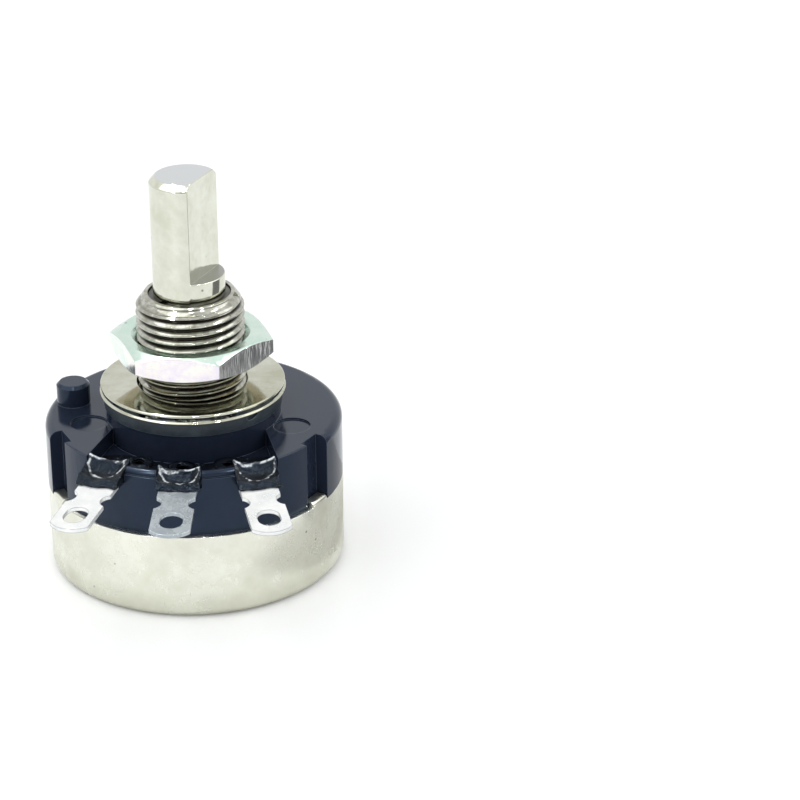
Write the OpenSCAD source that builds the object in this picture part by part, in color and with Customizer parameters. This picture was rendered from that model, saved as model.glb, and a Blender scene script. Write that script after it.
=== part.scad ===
// Rotary potentiometer with a threaded mounting bushing, a D-shaft and three solder lugs.
// Origin on the shaft axis at the mounting face, +Z towards the shaft tip, lugs towards -Y.

/* [Case] */
// Outside diameter of the moulded housing and of the metal rear cover
body_d = 24.9; // [24.6:0.1:28]
// Mounting face to the back of the rear cover
body_depth = 14.1; // [14:0.1:18]
// Mounting face to the rim of the rear cover
rim_depth = 6.7; // [6.2:0.1:7.4]
// Distance from the outside of the housing to the round boss that carries the mounting face
boss_inset = 5.1; // [4.6:0.1:5.4]
// Height of that boss above the top of the housing
boss_h = 1.05; // [0.6:0.05:1.3]
// Radius on the top edge of the housing
top_round = 0.7; // [0.3:0.1:1]
// Sheet thickness of the rear cover
cover_wall = 0.4; // [0.3:0.05:0.5]
// Outside corner radius of the rear cover
cover_round = 0.8; // [0.6:0.1:1.2]
// How far the housing's front is set back from the skirt inside the cover
front_inset = 0.05; // [0.05:0.05:0.3]
// Wall thickness of that skirt
skirt_wall = 1.4; // [1.1:0.05:1.6]

/* [Cover tabs and grooves] */
// Width of each folded tab
tab_w = 2; // [1.4:0.1:2.6]
// Length of each tab over the ledge
tab_len = 0.95; // [0.6:0.05:1.1]
// Angle from the lugs to each of the two front tabs
tab_angle = 62; // [58:1:68]
// Width of the groove above each tab
groove_w = 2.3; // [2:0.1:3]
// Depth of that groove from the outside
groove_depth = 1.15; // [0.8:0.05:1.3]

/* [Locating pin] */
// Pin diameter
pin_d = 2.8; // [2:0.1:3]
// Pin height above the top of the housing
pin_h = 1.9; // [1:0.1:3]
// Distance from the outside of the housing to the pin's axis
pin_inset = 2; // [1.9:0.05:2.6]
// Direction of the pin, in degrees from +X
pin_angle = 172; // [150:1:180]

/* [Lug bay] */
// Depth of the bay floor below the mounting face
bay_depth = 2.5; // [2.3:0.05:2.8]
// Thickness of the floor
floor_t = 1.5; // [1.2:0.1:1.8]
// Thickness of the low front wall
front_wall_t = 0.75; // [0.5:0.05:1]
// Height of the front wall above the floor
front_wall_h = 1.3; // [1:0.05:1.4]
// Width of the slot for each lug
slot_w = 3.7; // [3.5:0.1:3.8]
// How far each outer slot is shifted outwards from its lug
slot_shift = 0.25; // [0:0.05:0.3]

/* [Lugs] */
// Sheet thickness
lug_t = 0.35; // [0.25:0.05:0.45]
// Width where the lug leaves the housing
lug_root_w = 3.1; // [2.6:0.1:3.2]
// Width round the eye
lug_w = 3.25; // [3:0.05:3.6]
// Front wall to the tip of the lug
lug_len = 7.55; // [7:0.05:9]
// Radius of the arc across the tip
tip_r = 2.2; // [1.9:0.1:3]
// Width of the eye
eye_w = 1.85; // [1.4:0.05:2]
// Length of the eye along the lug
eye_len = 2.35; // [2.1:0.05:2.6]
// Distance from the middle of the eye to the tip
eye_inset = 2.15; // [1.9:0.05:2.4]
// Radius of the arc of the two notches in each lug's sides
notch_r = 0.9; // [0.75:0.05:1.2]
// Depth of those notches
notch_depth = 0.57; // [0.3:0.01:0.7]
// Front wall to the middle of the notches
notch_out = 2.8; // [2.5:0.05:3]
// Angle between neighbouring slots, seen from the shaft axis
lug_spread = 30; // [28:1:31]
// Direction of the outer lugs from the middle one
lug_fan = 15; // [10:1:18]
// Downward slope of the lugs
lug_slope = 5; // [0:1:15]
// How much further the outer lugs run level before they slope down
outer_reach = 1.1; // [0:0.1:1.6]

/* [Shaft] */
// Shaft diameter
shaft_d = 6; // [5.6:0.1:6.35]
// Mounting face to the shaft tip
shaft_len = 20; // [18:0.5:40]
// Size across the flat and the round side opposite
flat_across = 4.5; // [4:0.1:5.2]
// Length of the flat from the tip
flat_len = 8.5; // [5:0.5:9.5]
// Direction the flat faces at rest, in degrees from +X
flat_facing = -21.5; // [-90:0.5:90]
// Chamfer round the tip
tip_chamfer = 0.5; // [0.2:0.1:1]
// Turning angle from stop to stop
travel = 300; // [260:5:300]

/* [Bushing, nut and washers] */
// Outside diameter of the thread
thread_d = 9; // [8.6:0.1:9.4]
// Mounting face to the end of the bushing
bushing_len = 9.8; // [9:0.1:10]
// Height of the plain cone at the end of the bushing
cone_h = 1.15; // [0.8:0.05:1.3]
// Size across the flats of the nut
nut_af = 12; // [11:0.1:13]
// Nut thickness
nut_t = 2.2; // [1.6:0.1:2.4]
// Gap between the washer and the nut at rest
nut_lift = 2.15; // [0:0.05:3]
// Direction of the nut's corners, in degrees from +X
nut_turn = -4.9; // [-30:0.1:30]
// How far the flat washer stands out past the gasket
washer_reach = 0.325; // [0.1:0.025:0.6]
// Flat washer, thickness
washer_t = 0.8; // [0.5:0.05:1]
// How far the sealing gasket stands out past the boss
gasket_reach = 0.1; // [0:0.05:0.3]
// Sealing gasket, thickness
gasket_t = 1.15; // [0.6:0.05:1.4]

/* [Element and wiper] */
// Gap round the element board, inside the skirt
board_gap = 0.2; // [0.1:0.05:0.4]
// Board thickness
board_t = 0.8; // [0.6:0.1:1]
// Distance from the edge of the board to each rivet
rivet_inset = 1.1; // [1.05:0.05:1.3]
// Angle between neighbouring rivets, seen from the shaft axis
rivet_spread = 23; // [21:1:24]
// Diameter of a rivet's shank
rivet_d = 1.44; // [1.2:0.02:1.5]
// Half the width of the path the wiper runs on the track and on the collector ring
path_half = 0.55; // [0.5:0.05:0.6]
// Distance between the two paths, from middle to middle
path_step = 1.65; // [1.5:0.05:1.7]
// Width of the rotor outside the outer finger of the wiper
rotor_rim = 0.5; // [0.3:0.1:0.8]
// Thickness of the rotor
rotor_t = 3.4; // [2.8:0.1:3.6]
// Thickness of the stop plate
stop_t = 1; // [0.8:0.1:1.1]

/* [Hidden] */
$fn = 96;

// Running gap between the shaft and the bushing, on the radius
run_gap = 0.05;
// Gap between pieces that are pressed or fitted together, on the radius
fit_gap = 0.02;
// Gap between the sliding faces along the shaft
face_gap = 0.03;
// Overlap of cutting shapes past the faces they open
eps = 0.5;
// Smallest overlap, where a larger one would show
kerf = 0.01;

body_r = body_d / 2;
boss_r = body_r - boss_inset;
thread_r = thread_d / 2;
shaft_r = shaft_d / 2;

// Heights of the case, from the mounting face at zero
top_z = -boss_h;
rim_z = -rim_depth;
back_z = -body_depth;
floor_z = -bay_depth;
board_z = floor_z - floor_t;
board_back_z = board_z - board_t;
track_t = 0.12;
track_z = board_back_z - track_t;
collector_t = 0.25;
collector_z = board_back_z - collector_t;

// Skirt of the housing, which the rear cover slides over
cover_fit = 0.05;
cover_inner_r = body_r - cover_wall;
skirt_r = cover_inner_r - cover_fit;
cavity_r = skirt_r - skirt_wall;
board_r = cavity_r - board_gap;
rivet_r = board_r - rivet_inset;
skirt_end_z = back_z + cover_wall + 1.4;
front_r = skirt_r - front_inset;
pin_r = body_r - pin_inset;

// Front wall of the lug bay
wall_outer_r = front_r - 0.22;
wall_inner_r = wall_outer_r - front_wall_t;
wall_top_z = floor_z + front_wall_h;
sill_z = wall_top_z - 0.5;
slot_half = slot_w / 2;
// Front wall to the line where the middle lug bends down, and where each one does
lug_bend = 0.6;
function bend_out(side) = lug_bend + abs(side) * outer_reach;

// Seat of the bushing in the housing
seat_r = thread_r + 0.45;
flange_r = seat_r + 0.85;
flange_t = 0.6;
neck_r = thread_r - 0.4;
mouth_r = thread_r - 0.75;

// Retaining ring in its groove, inside the mouth of the bushing
clip_t = 0.5;
clip_r = shaft_r + 0.38;
clip_groove_r = shaft_r - 0.3;
mouth_bore_r = clip_r + 0.07;
mouth_z = bushing_len - 0.7;
clip_gap = 0.8;
clip_facing = -130;

// Parts along the shaft, behind the bushing
thrust_t = 0.35;
thrust_r = shaft_r + 1.6;
thrust_z = board_z - face_gap - thrust_t;
collar_r = shaft_r + 1.2;
collar_z = thrust_z - face_gap;
collar_t = 0.9;
seat_top_z = collar_z - collar_t;
drive_r = shaft_r - 0.4;
drive_flat = drive_r - 0.5;
board_bore_r = thrust_r + 0.3;
ring_path_r = board_bore_r + 0.25 + path_half;
track_path_r = ring_path_r + path_step;
finger_w = 0.9;
rotor_r = track_path_r + finger_w / 2 + rotor_rim;
rotor_z = seat_top_z - 1.1;
rotor_back_z = rotor_z - rotor_t;
hub_r = drive_r + 1.6;
stop_z = rotor_back_z - 0.6;
stop_back_z = stop_z - stop_t;
shaft_end_z = stop_back_z - 0.4;

// Stop block in the housing and stop arm on the shaft, which share the angle that is not travel
stop_share = (360 - travel) / 2;
block_half = stop_share * 0.54;
arm_half = stop_share - block_half - 0.5;
block_r = cavity_r - 1.4;
block_lip = 0.3;
arm_r = cavity_r - 0.35;

// Wiper spring and its two brushes
spring_t = 0.2;
spring_z = rotor_z + spring_t;
finger_run = 2.6;
finger_pad = 1;
brush_r = 0.4;
track_brush_top = track_z - face_gap;
ring_brush_top = collector_z - face_gap;
finger_top = collector_z - 0.3;

// Nut and washers on the thread
washer_z = gasket_t;
nut_z = washer_z + washer_t + nut_lift;
thread_gap = 0.05;
washer_gap = 0.08;
gasket_r = boss_r + gasket_reach;
washer_r = gasket_r + washer_reach;

// Lug frame: its origin is at the foot of the front wall, -Y runs out along the lug
module at_lug(side) {
  rotate([0, 0, side * lug_spread])
    translate([0, -front_r, 0])
      rotate([0, 0, side * (lug_fan - lug_spread)])
        children();
}

// The same frame for a single point
function turned(p, a) = [p[0] * cos(a) - p[1] * sin(a), p[0] * sin(a) + p[1] * cos(a)];
function lug_point(side, p) =
  turned(turned(p, side * (lug_fan - lug_spread)) + [0, -front_r], side * lug_spread);

module at_rivet(side) {
  rotate([0, 0, side * rivet_spread]) translate([0, -rivet_r, 0]) children();
}

// Flat ring between two heights
module ring(outer, inner, z0, z1) {
  translate([0, 0, z0])
    difference() {
      cylinder(r = outer, h = z1 - z0);
      translate([0, 0, -eps]) cylinder(r = inner, h = z1 - z0 + 2 * eps);
    }
}

// Slice about -Y that reaches out to r, for cutting sectors out of rings
module slice(half, r) {
  reach = r / cos(half / 3);
  polygon([[0, 0], for (k = [-3 : 3]) reach * [sin(half * k / 3), -cos(half * k / 3)]]);
}

// Half profile of a round block from z0 to z1 with its top edge rounded
module rounded_top_profile(r, z0, z1, round_r) {
  translate([0, z0]) square([r, z1 - z0 - round_r]);
  translate([0, z0]) square([r - round_r, z1 - z0]);
  translate([r - round_r, z1 - round_r]) circle(r = round_r);
}

// Plan of the open bay between the two outer lugs' far walls
module bay_plan() {
  edge = slot_half + slot_shift;
  inner = front_r - boss_r / 2;
  outer = -slot_w - eps;
  polygon([
    lug_point(1, [edge, inner]), lug_point(1, [edge, outer]),
    lug_point(-1, [-edge, outer]), lug_point(-1, [-edge, inner])
  ]);
}

module lug_slot(side) {
  at_lug(side)
    translate([side * slot_shift - slot_half, -3, floor_z])
      cube([slot_w, 4 + front_wall_t, bay_depth + eps]);
}

// Front wall of the bay: a rounded bar on a slightly wider sill
module front_wall() {
  bar_r = front_wall_t / 2;
  intersection() {
    rotate_extrude()
      union() {
        translate([wall_inner_r, floor_z - eps])
          square([front_wall_t, wall_top_z - bar_r - floor_z + eps]);
        translate([wall_inner_r + bar_r, wall_top_z - bar_r]) circle(r = bar_r);
        translate([wall_inner_r, floor_z - eps])
          square([front_r - wall_inner_r, sill_z - floor_z + eps]);
      }
    translate([0, 0, floor_z - eps]) linear_extrude(height = bay_depth + 2 * eps) bay_plan();
  }
}

module tab_groove(a) {
  rotate([0, 0, a])
    translate([-groove_w / 2, -body_r - eps, rim_z - eps])
      cube([groove_w, groove_depth + eps, rim_depth + 2 * eps]);
}

module locating_pin() {
  chamfer = 0.25;
  rotate([0, 0, pin_angle])
    translate([pin_r, 0, top_z]) {
      translate([0, 0, -top_round]) cylinder(d = pin_d, h = pin_h + top_round - chamfer);
      translate([0, 0, pin_h - chamfer])
        cylinder(d1 = pin_d, d2 = pin_d - 2 * chamfer, h = chamfer);
    }
}

// Block on the inside of the skirt that the stop arm runs against
module stop_block() {
  intersection() {
    ring(cavity_r + eps, block_r, stop_back_z - block_lip, stop_z + block_lip);
    translate([0, 0, stop_back_z - eps])
      linear_extrude(height = stop_t + 2 * eps) slice(block_half, body_r);
  }
}

// Head of the housing above the cover's rim: three grooves, and the front set back between two
module housing_head() {
  difference() {
    union() {
      rotate_extrude() rounded_top_profile(body_r, rim_z, top_z, top_round);
      translate([0, 0, top_z - eps]) cylinder(r = boss_r, h = boss_h + eps);
      locating_pin();
    }
    intersection() {
      ring(body_r + 1, front_r, rim_z - eps, eps);
      translate([0, 0, rim_z - 2 * eps])
        linear_extrude(height = rim_depth + 4 * eps) slice(tab_angle, body_r + 1);
    }
    for (a = [-tab_angle, tab_angle, 180]) tab_groove(a);
  }
}

module housing() {
  mark_d = 3.1;
  mark_depth = 0.15;
  mark_inset = 3.55;
  mark_angle = 72;
  color("#22262e")
    difference() {
      union() {
        difference() {
          union() {
            housing_head();
            translate([0, 0, skirt_end_z]) cylinder(r = skirt_r, h = rim_z - skirt_end_z);
          }
          // Open bay down to its floor
          translate([0, 0, floor_z])
            linear_extrude(height = bay_depth + eps)
              difference() {
                bay_plan();
                circle(r = boss_r);
              }
          // Inside of the skirt
          translate([0, 0, skirt_end_z - eps])
            cylinder(r = cavity_r, h = board_z - skirt_end_z + eps);
        }
        front_wall();
        stop_block();
      }
      for (side = [-1 : 1]) lug_slot(side);
      for (side = [-1 : 1])
        at_rivet(side)
          translate([0, 0, board_z - eps]) cylinder(d = rivet_d + 2 * fit_gap, h = floor_t + 2 * eps);
      // Marks left by the ejector pins
      for (side = [-1, 1])
        rotate([0, 0, side * mark_angle])
          translate([0, mark_inset - body_r, top_z - mark_depth])
            cylinder(d = mark_d, h = mark_depth + eps);
      // Seat of the bushing and its flange
      translate([0, 0, board_z - eps]) cylinder(r = seat_r + fit_gap, h = -board_z + 2 * eps);
      translate([0, 0, board_z - eps]) cylinder(r = flange_r + fit_gap, h = flange_t + eps);
    }
}

module rear_cover() {
  inner_round = cover_round - cover_wall;
  color("#d8d8cc") {
    difference() {
      translate([0, 0, rim_z])
        mirror([0, 0, 1])
          rotate_extrude() rounded_top_profile(body_r, 0, rim_z - back_z, cover_round);
      translate([0, 0, rim_z])
        mirror([0, 0, 1])
          rotate_extrude()
            rounded_top_profile(cover_inner_r, -eps, rim_z - back_z - cover_wall, inner_round);
    }
    for (a = [-tab_angle, tab_angle, 180]) cover_tab(a);
  }
}

// Tab at the rim, folded inwards over the housing's ledge
module cover_tab(a) {
  fold = cover_wall * 0.9;
  rotate([0, 0, a])
    intersection() {
      rotate_extrude()
        difference() {
          union() {
            translate([cover_inner_r, rim_z - eps]) square([cover_wall, 2 * eps - fold]);
            rounded_top_profile(body_r, rim_z, rim_z + cover_wall, fold);
          }
          translate([-eps, rim_z - eps]) square([body_r - tab_len + eps, cover_wall + 2 * eps]);
        }
      translate([-tab_w / 2, -body_r - eps, rim_z - eps]) cube([tab_w, body_r, cover_wall + 2 * eps]);
    }
}

module bushing() {
  color("#c9c8c0")
    rotate_extrude()
      polygon([
        [shaft_r + run_gap, board_z], [flange_r, board_z], [flange_r, board_z + flange_t],
        [seat_r, board_z + flange_t], [seat_r, 0], [thread_r, 0],
        [thread_r, bushing_len - cone_h], [neck_r, bushing_len - cone_h + 0.4],
        [mouth_r, bushing_len], [mouth_bore_r, bushing_len], [mouth_bore_r, mouth_z],
        [shaft_r + run_gap, mouth_z]
      ]);
}

module sealing_gasket() {
  soft = 0.12;
  color("#20242a")
    rotate_extrude()
      polygon([
        [thread_r + washer_gap, 0], [gasket_r, 0], [gasket_r, gasket_t - soft],
        [gasket_r - soft, gasket_t], [thread_r + washer_gap, gasket_t]
      ]);
}

module flat_washer() {
  bevel = washer_t * 0.3;
  inner = thread_r + washer_gap;
  color("#b9b8ae")
    translate([0, 0, washer_z])
      rotate_extrude()
        union() {
          translate([inner, 0]) square([washer_r - inner - bevel, washer_t]);
          translate([inner, bevel]) square([washer_r - inner, washer_t - 2 * bevel]);
          translate([washer_r - bevel, bevel]) circle(r = bevel);
          translate([washer_r - bevel, washer_t - bevel]) circle(r = bevel);
        }
}

// Hexagon nut with both faces turned off at the corners and a countersunk bore
module mounting_nut() {
  corner_r = nut_af / 2 / cos(30);
  face_r = nut_af / 2 - 0.15;
  drop = (corner_r - face_r) * 0.5;
  bore_r = thread_r + thread_gap;
  sink = 0.45;
  color("#c4d3c8")
    translate([0, 0, nut_z])
      difference() {
        intersection() {
          rotate([0, 0, nut_turn]) cylinder(r = corner_r, h = nut_t, $fn = 6);
          rotate_extrude()
            polygon([
              [0, 0], [face_r, 0], [corner_r, drop], [corner_r, nut_t - drop], [face_r, nut_t],
              [0, nut_t]
            ]);
        }
        translate([0, 0, -eps]) cylinder(r = bore_r, h = nut_t + 2 * eps);
        translate([0, 0, nut_t - sink]) cylinder(r1 = bore_r, r2 = bore_r + sink, h = sink);
        cylinder(r1 = bore_r + sink, r2 = bore_r, h = sink);
      }
}

// Round bar with two flats, as the rotor and the stop plate are driven
module drive_plan(gap) {
  intersection() {
    circle(r = drive_r + gap);
    square([4 * drive_r, 2 * (drive_flat + gap)], center = true);
  }
}

module shaft() {
  color("#dcdcd0")
    difference() {
      union() {
        rotate_extrude()
          polygon([
            [0, collar_z - collar_t], [collar_r, collar_z - collar_t], [collar_r, collar_z],
            [shaft_r, collar_z], [shaft_r, mouth_z + face_gap],
            [clip_groove_r, mouth_z + face_gap], [clip_groove_r, mouth_z + face_gap + clip_t],
            [shaft_r, mouth_z + face_gap + clip_t], [shaft_r, shaft_len - tip_chamfer],
            [shaft_r - tip_chamfer, shaft_len], [0, shaft_len]
          ]);
        translate([0, 0, stop_back_z])
          linear_extrude(height = seat_top_z - stop_back_z + 0.1) drive_plan(0);
        // Riveted end that holds the stop plate
        translate([0, 0, shaft_end_z])
          cylinder(r1 = drive_r - 0.3, r2 = drive_r + 0.15, h = stop_back_z - shaft_end_z);
      }
      rotate([0, 0, flat_facing])
        translate([flat_across - shaft_r, -shaft_d, shaft_len - flat_len])
          cube([shaft_d, 2 * shaft_d, flat_len + eps]);
    }
}

module retaining_ring() {
  z0 = mouth_z + face_gap;
  color("#4a4a48")
    difference() {
      ring(clip_r, clip_groove_r + fit_gap, z0, z0 + clip_t);
      rotate([0, 0, clip_facing])
        translate([0, -clip_gap / 2, z0 - eps]) cube([clip_r + eps, clip_gap, clip_t + 2 * eps]);
    }
}

module thrust_washer() {
  color("#b08d57") ring(thrust_r, shaft_r + run_gap, thrust_z, thrust_z + thrust_t);
}

module rotor() {
  rib_t = 0.8;
  pocket = rotor_t * 0.55;
  color("#3a2a20")
    difference() {
      union() {
        translate([0, 0, rotor_back_z]) cylinder(r = rotor_r, h = rotor_t);
        translate([0, 0, stop_z]) cylinder(r = hub_r, h = seat_top_z - stop_z);
      }
      translate([0, 0, stop_z - eps])
        linear_extrude(height = seat_top_z - stop_z + 2 * eps) drive_plan(fit_gap);
      // Lightening pockets at the back, with ribs left between them
      difference() {
        ring(rotor_r - 0.9, hub_r, rotor_back_z - eps, rotor_back_z + pocket);
        for (a = [0 : 60 : 300])
          rotate([0, 0, a])
            translate([0, -rib_t / 2, rotor_back_z - 2 * eps]) cube([rotor_r, rib_t, pocket + 3 * eps]);
      }
    }
}

module stop_plate() {
  disc_r = hub_r + 0.6;
  color("#8d8f92")
    translate([0, 0, stop_back_z])
      linear_extrude(height = stop_t)
        difference() {
          union() {
            circle(r = disc_r);
            intersection() {
              circle(r = arm_r);
              rotate([0, 0, 180]) slice(arm_half, body_r);
            }
          }
          drive_plan(fit_gap);
        }
}

// Sprung fork: a flat ring on the rotor with two fingers that end in level pads for the brushes
module wiper_spring() {
  rise = finger_top - spring_z;
  run = finger_run - finger_pad / 2;
  angle = atan2(rise, run);
  color("#c9a35a") {
    ring(rotor_r - 0.1, hub_r + 0.3, rotor_z, spring_z);
    for (r = [track_path_r, ring_path_r]) {
      translate([-finger_run, r - finger_w / 2, spring_z])
        rotate([0, -angle, 0]) translate([0, 0, -spring_t]) cube([norm([run, rise]), finger_w, spring_t]);
      translate([-finger_pad / 2 - spring_t * sin(angle), r - finger_w / 2, finger_top - spring_t])
        cube([finger_pad + spring_t * sin(angle), finger_w, spring_t]);
    }
  }
}

module brush(r, top_z) {
  color("#2b2b2b") translate([0, r, finger_top]) cylinder(r = brush_r, h = top_z - finger_top);
}

module element_board() {
  notch = 1.2;
  color("#8a5a33")
    difference() {
      ring(board_r, board_bore_r, board_back_z, board_z);
      for (side = [-1 : 1])
        at_rivet(side)
          translate([0, 0, board_back_z - eps])
            cylinder(d = rivet_d + 2 * fit_gap, h = board_t + 2 * eps);
      translate([-notch / 2, board_r - notch, board_back_z - eps])
        cube([notch, 2 * notch, board_t + 2 * eps]);
    }
}

// Carbon arc, open towards the lugs, with an eye for each end rivet
module carbon_track() {
  // Angle that the arc runs on past the middle of each end rivet
  end_lap = 7;
  open_half = rivet_spread - end_lap;
  color("#161616")
    difference() {
      ring(board_r - 0.25, track_path_r - path_half, track_z, board_back_z);
      translate([0, 0, track_z - eps])
        linear_extrude(height = track_t + 2 * eps) slice(open_half, body_r);
      for (side = [-1, 1])
        at_rivet(side)
          translate([0, 0, track_z - eps]) cylinder(d = rivet_d + 2 * fit_gap, h = track_t + 2 * eps);
    }
}

// Plain ring for the wiper, with a tail through the opening of the carbon arc
module collector_ring() {
  tail_w = 2.4;
  outer = ring_path_r + path_half;
  color("#d5d0b8")
    translate([0, 0, collector_z])
      linear_extrude(height = collector_t)
        difference() {
          union() {
            circle(r = outer);
            translate([-tail_w / 2, -rivet_r]) square([tail_w, rivet_r]);
            translate([0, -rivet_r]) circle(d = tail_w);
          }
          circle(r = ring_path_r - path_half);
          translate([0, -rivet_r]) circle(d = rivet_d + 2 * fit_gap);
        }
}

// Straight strip between two points, of the same width at both ends
module strip(p, q, w) {
  d = (q - p) / norm(q - p);
  n = [-d[1], d[0]] * w / 2;
  polygon([p + n, q + n, q - n, p - n]);
}

// Solder lug: a pad under the rivet, a root through the slot and a sloping blade with its eye
module terminal(side) {
  blade = lug_len - lug_bend;
  pad_d = 2.9;
  pad = turned([0, -rivet_r], side * rivet_spread);
  root = lug_point(side, [0, 1.2]);
  color("#dfe1e2") {
    translate([0, 0, floor_z])
      linear_extrude(height = lug_t)
        difference() {
          union() {
            translate(pad) circle(d = pad_d);
            strip(pad, root, pad_d * 0.8);
            translate(root) circle(d = lug_root_w * 0.8);
            at_lug(side)
              translate([-lug_root_w / 2, -bend_out(side)]) square([lug_root_w, bend_out(side) + 1.2]);
          }
          translate(pad) circle(d = rivet_d + 2 * fit_gap);
        }
    at_lug(side)
      translate([0, -bend_out(side), floor_z + lug_t / 2]) {
        rotate([0, 90, 0]) cylinder(d = lug_t, h = lug_root_w, center = true);
        rotate([lug_slope, 0, 0])
          translate([0, 0, -lug_t / 2])
            linear_extrude(height = lug_t) blade_outline(blade, notch_out - lug_bend);
      }
  }
}

// Outline of the blade, from the bend at zero out along -Y
module blade_outline(blade, notch) {
  eye = blade - eye_inset;
  difference() {
    union() {
      translate([-lug_root_w / 2, -notch]) square([lug_root_w, notch]);
      translate([-lug_w / 2, tip_r - blade]) square([lug_w, blade - tip_r - notch]);
      intersection() {
        translate([-lug_w / 2, -blade]) square([lug_w, tip_r]);
        translate([0, tip_r - blade]) circle(r = tip_r);
      }
    }
    for (side = [-1, 1])
      translate([side * (lug_w / 2 + notch_r - notch_depth), -notch]) circle(r = notch_r);
    for (end = [-1, 1]) translate([0, -eye + end * (eye_len - eye_w) / 2]) circle(d = eye_w);
    translate([-eye_w / 2, -eye - (eye_len - eye_w) / 2]) square([eye_w, eye_len - eye_w]);
  }
}

// Tubular rivet from the lug's pad to the back of the element
module rivet(side) {
  head_r = rivet_d / 2 + 0.48;
  tail_r = rivet_d / 2 + 0.28;
  head_t = 0.3;
  seat_z = (side == 0) ? collector_z : track_z;
  top = floor_z + lug_t;
  color("#cfcdc0")
    at_rivet(side)
      difference() {
        union() {
          translate([0, 0, seat_z]) cylinder(d = rivet_d, h = top - seat_z);
          translate([0, 0, top]) cylinder(r = head_r, h = head_t);
          translate([0, 0, seat_z - 0.25]) cylinder(r = tail_r, h = 0.25);
        }
        translate([0, 0, seat_z - eps]) cylinder(r = rivet_d / 4, h = top - seat_z + 2 * eps);
      }
}

// Drop of varnish that seals a lug into its slot: it fills the slot and bulges over the root
module sealant(side) {
  bead = 0.32;
  drop_w = slot_w - 0.4;
  edge = drop_w / 2 - bead;
  height = wall_top_z - floor_z - lug_t;
  crest = height - bead;
  // Rounded ridge across the slot: foot inside, two points of the crest, nose over the root
  foot = 0.85;
  crest_back = 0.4;
  crest_front = 0.35;
  nose = 0.35 + bend_out(side);
  fall = 0.1;
  path = [
    [foot, 0], [foot, height * 0.35], [crest_back, crest], [-crest_front, crest - fall], [-nose, fall]
  ];
  // Length of the blocks that cut the drop off level with the lug
  cut = foot + nose + 2 * bead;
  color("#14171c")
    at_lug(side)
      translate([side * slot_shift / 2, 0, floor_z + lug_t])
        difference() {
          hull()
            for (s = [-1, 1], p = path) translate([s * edge, p[0], p[1]]) sphere(r = bead, $fn = 20);
          translate([-drop_w, -bend_out(side), -2 * bead]) cube([2 * drop_w, cut, 2 * bead]);
          translate([-drop_w, -bend_out(side), 0])
            rotate([lug_slope, 0, 0])
              translate([0, -cut, -2 * bead]) cube([2 * drop_w, cut + kerf, 2 * bead]);
        }
}

housing();
rear_cover();
bushing();
sealing_gasket();
flat_washer();
mounting_nut();
shaft();
retaining_ring();
thrust_washer();
rotor();
stop_plate();
wiper_spring();
brush(track_path_r, track_brush_top);  // track_brush
brush(ring_path_r, ring_brush_top);  // ring_brush
element_board();
carbon_track();
collector_ring();
terminal(-1);  // terminal_1
terminal(0);  // terminal_2
terminal(1);  // terminal_3
rivet(-1);  // rivet_1
rivet(0);  // rivet_2
rivet(1);  // rivet_3
sealant(-1);  // sealant_1
sealant(0);  // sealant_2
sealant(1);  // sealant_3
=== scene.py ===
"""Rotary potentiometer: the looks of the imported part, built round its solids in their own frame.

The solids give every piece its place and size. This script adds the fine forms that they leave out
(the bushing's thread, rolled and broken edges, the wrinkled varnish, the numbers of the lugs on the
back), dresses every piece in a finish of its own, and sets up the table, the light and the camera.
Lengths are metres, +Z runs along the shaft to its tip, and -Y points to the middle solder lug.
"""

import logging
import math
from collections.abc import Callable, Iterable, Iterator, Mapping, Sequence
from contextlib import contextmanager
from dataclasses import dataclass, field
from enum import Enum

import bmesh
import bpy
from mathutils import Matrix, Vector, noise


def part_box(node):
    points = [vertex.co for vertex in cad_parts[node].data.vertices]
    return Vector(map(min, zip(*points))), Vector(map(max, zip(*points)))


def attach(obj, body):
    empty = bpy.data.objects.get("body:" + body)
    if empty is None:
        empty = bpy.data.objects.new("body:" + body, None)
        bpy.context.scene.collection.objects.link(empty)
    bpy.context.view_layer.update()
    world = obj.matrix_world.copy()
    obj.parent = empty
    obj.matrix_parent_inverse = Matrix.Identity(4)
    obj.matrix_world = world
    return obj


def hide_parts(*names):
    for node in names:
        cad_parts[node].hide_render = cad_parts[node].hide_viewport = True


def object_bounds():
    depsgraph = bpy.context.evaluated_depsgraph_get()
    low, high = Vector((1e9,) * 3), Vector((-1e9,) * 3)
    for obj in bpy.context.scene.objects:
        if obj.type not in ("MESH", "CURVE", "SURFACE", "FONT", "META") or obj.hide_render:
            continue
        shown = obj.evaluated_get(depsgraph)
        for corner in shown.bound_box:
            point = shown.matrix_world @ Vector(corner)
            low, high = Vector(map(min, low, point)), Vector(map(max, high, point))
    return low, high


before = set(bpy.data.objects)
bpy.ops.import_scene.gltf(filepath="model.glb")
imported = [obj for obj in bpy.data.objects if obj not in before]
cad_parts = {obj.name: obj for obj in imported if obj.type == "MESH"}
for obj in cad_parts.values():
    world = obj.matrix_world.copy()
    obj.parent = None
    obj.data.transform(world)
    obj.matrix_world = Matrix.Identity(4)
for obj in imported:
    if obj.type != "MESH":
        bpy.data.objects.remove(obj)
CAD_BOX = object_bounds()

MM = 0.001
# Faces round a turned piece
ROUND_STEPS = 128
# Points nearer than this are one, and faces that meet flatter than this, in degrees, are one
MERGE_DISTANCE = 0.0005 * MM
FLAT_ANGLE = 0.3
# The height of the varnish's folds that leaves the skin where it is, and how they ease from piece to piece
FOLD_LEVEL = 0.6
FOLD_EASE = 0.05
BODY_CASE = "case"
BODY_NUT = "nut"
BODY_SHAFT = "shaft_assembly"
LUG_NUMBERS = (1, 2, 3)
MIDDLE_LUG = 2
log = logging.getLogger("potentiometer")

Colour = tuple[float, float, float]
Point = tuple[float, float]
Sockets = Mapping[str, bpy.types.NodeSocket]
SLATE: Colour = (0.45, 0.62, 0.85)


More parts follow.
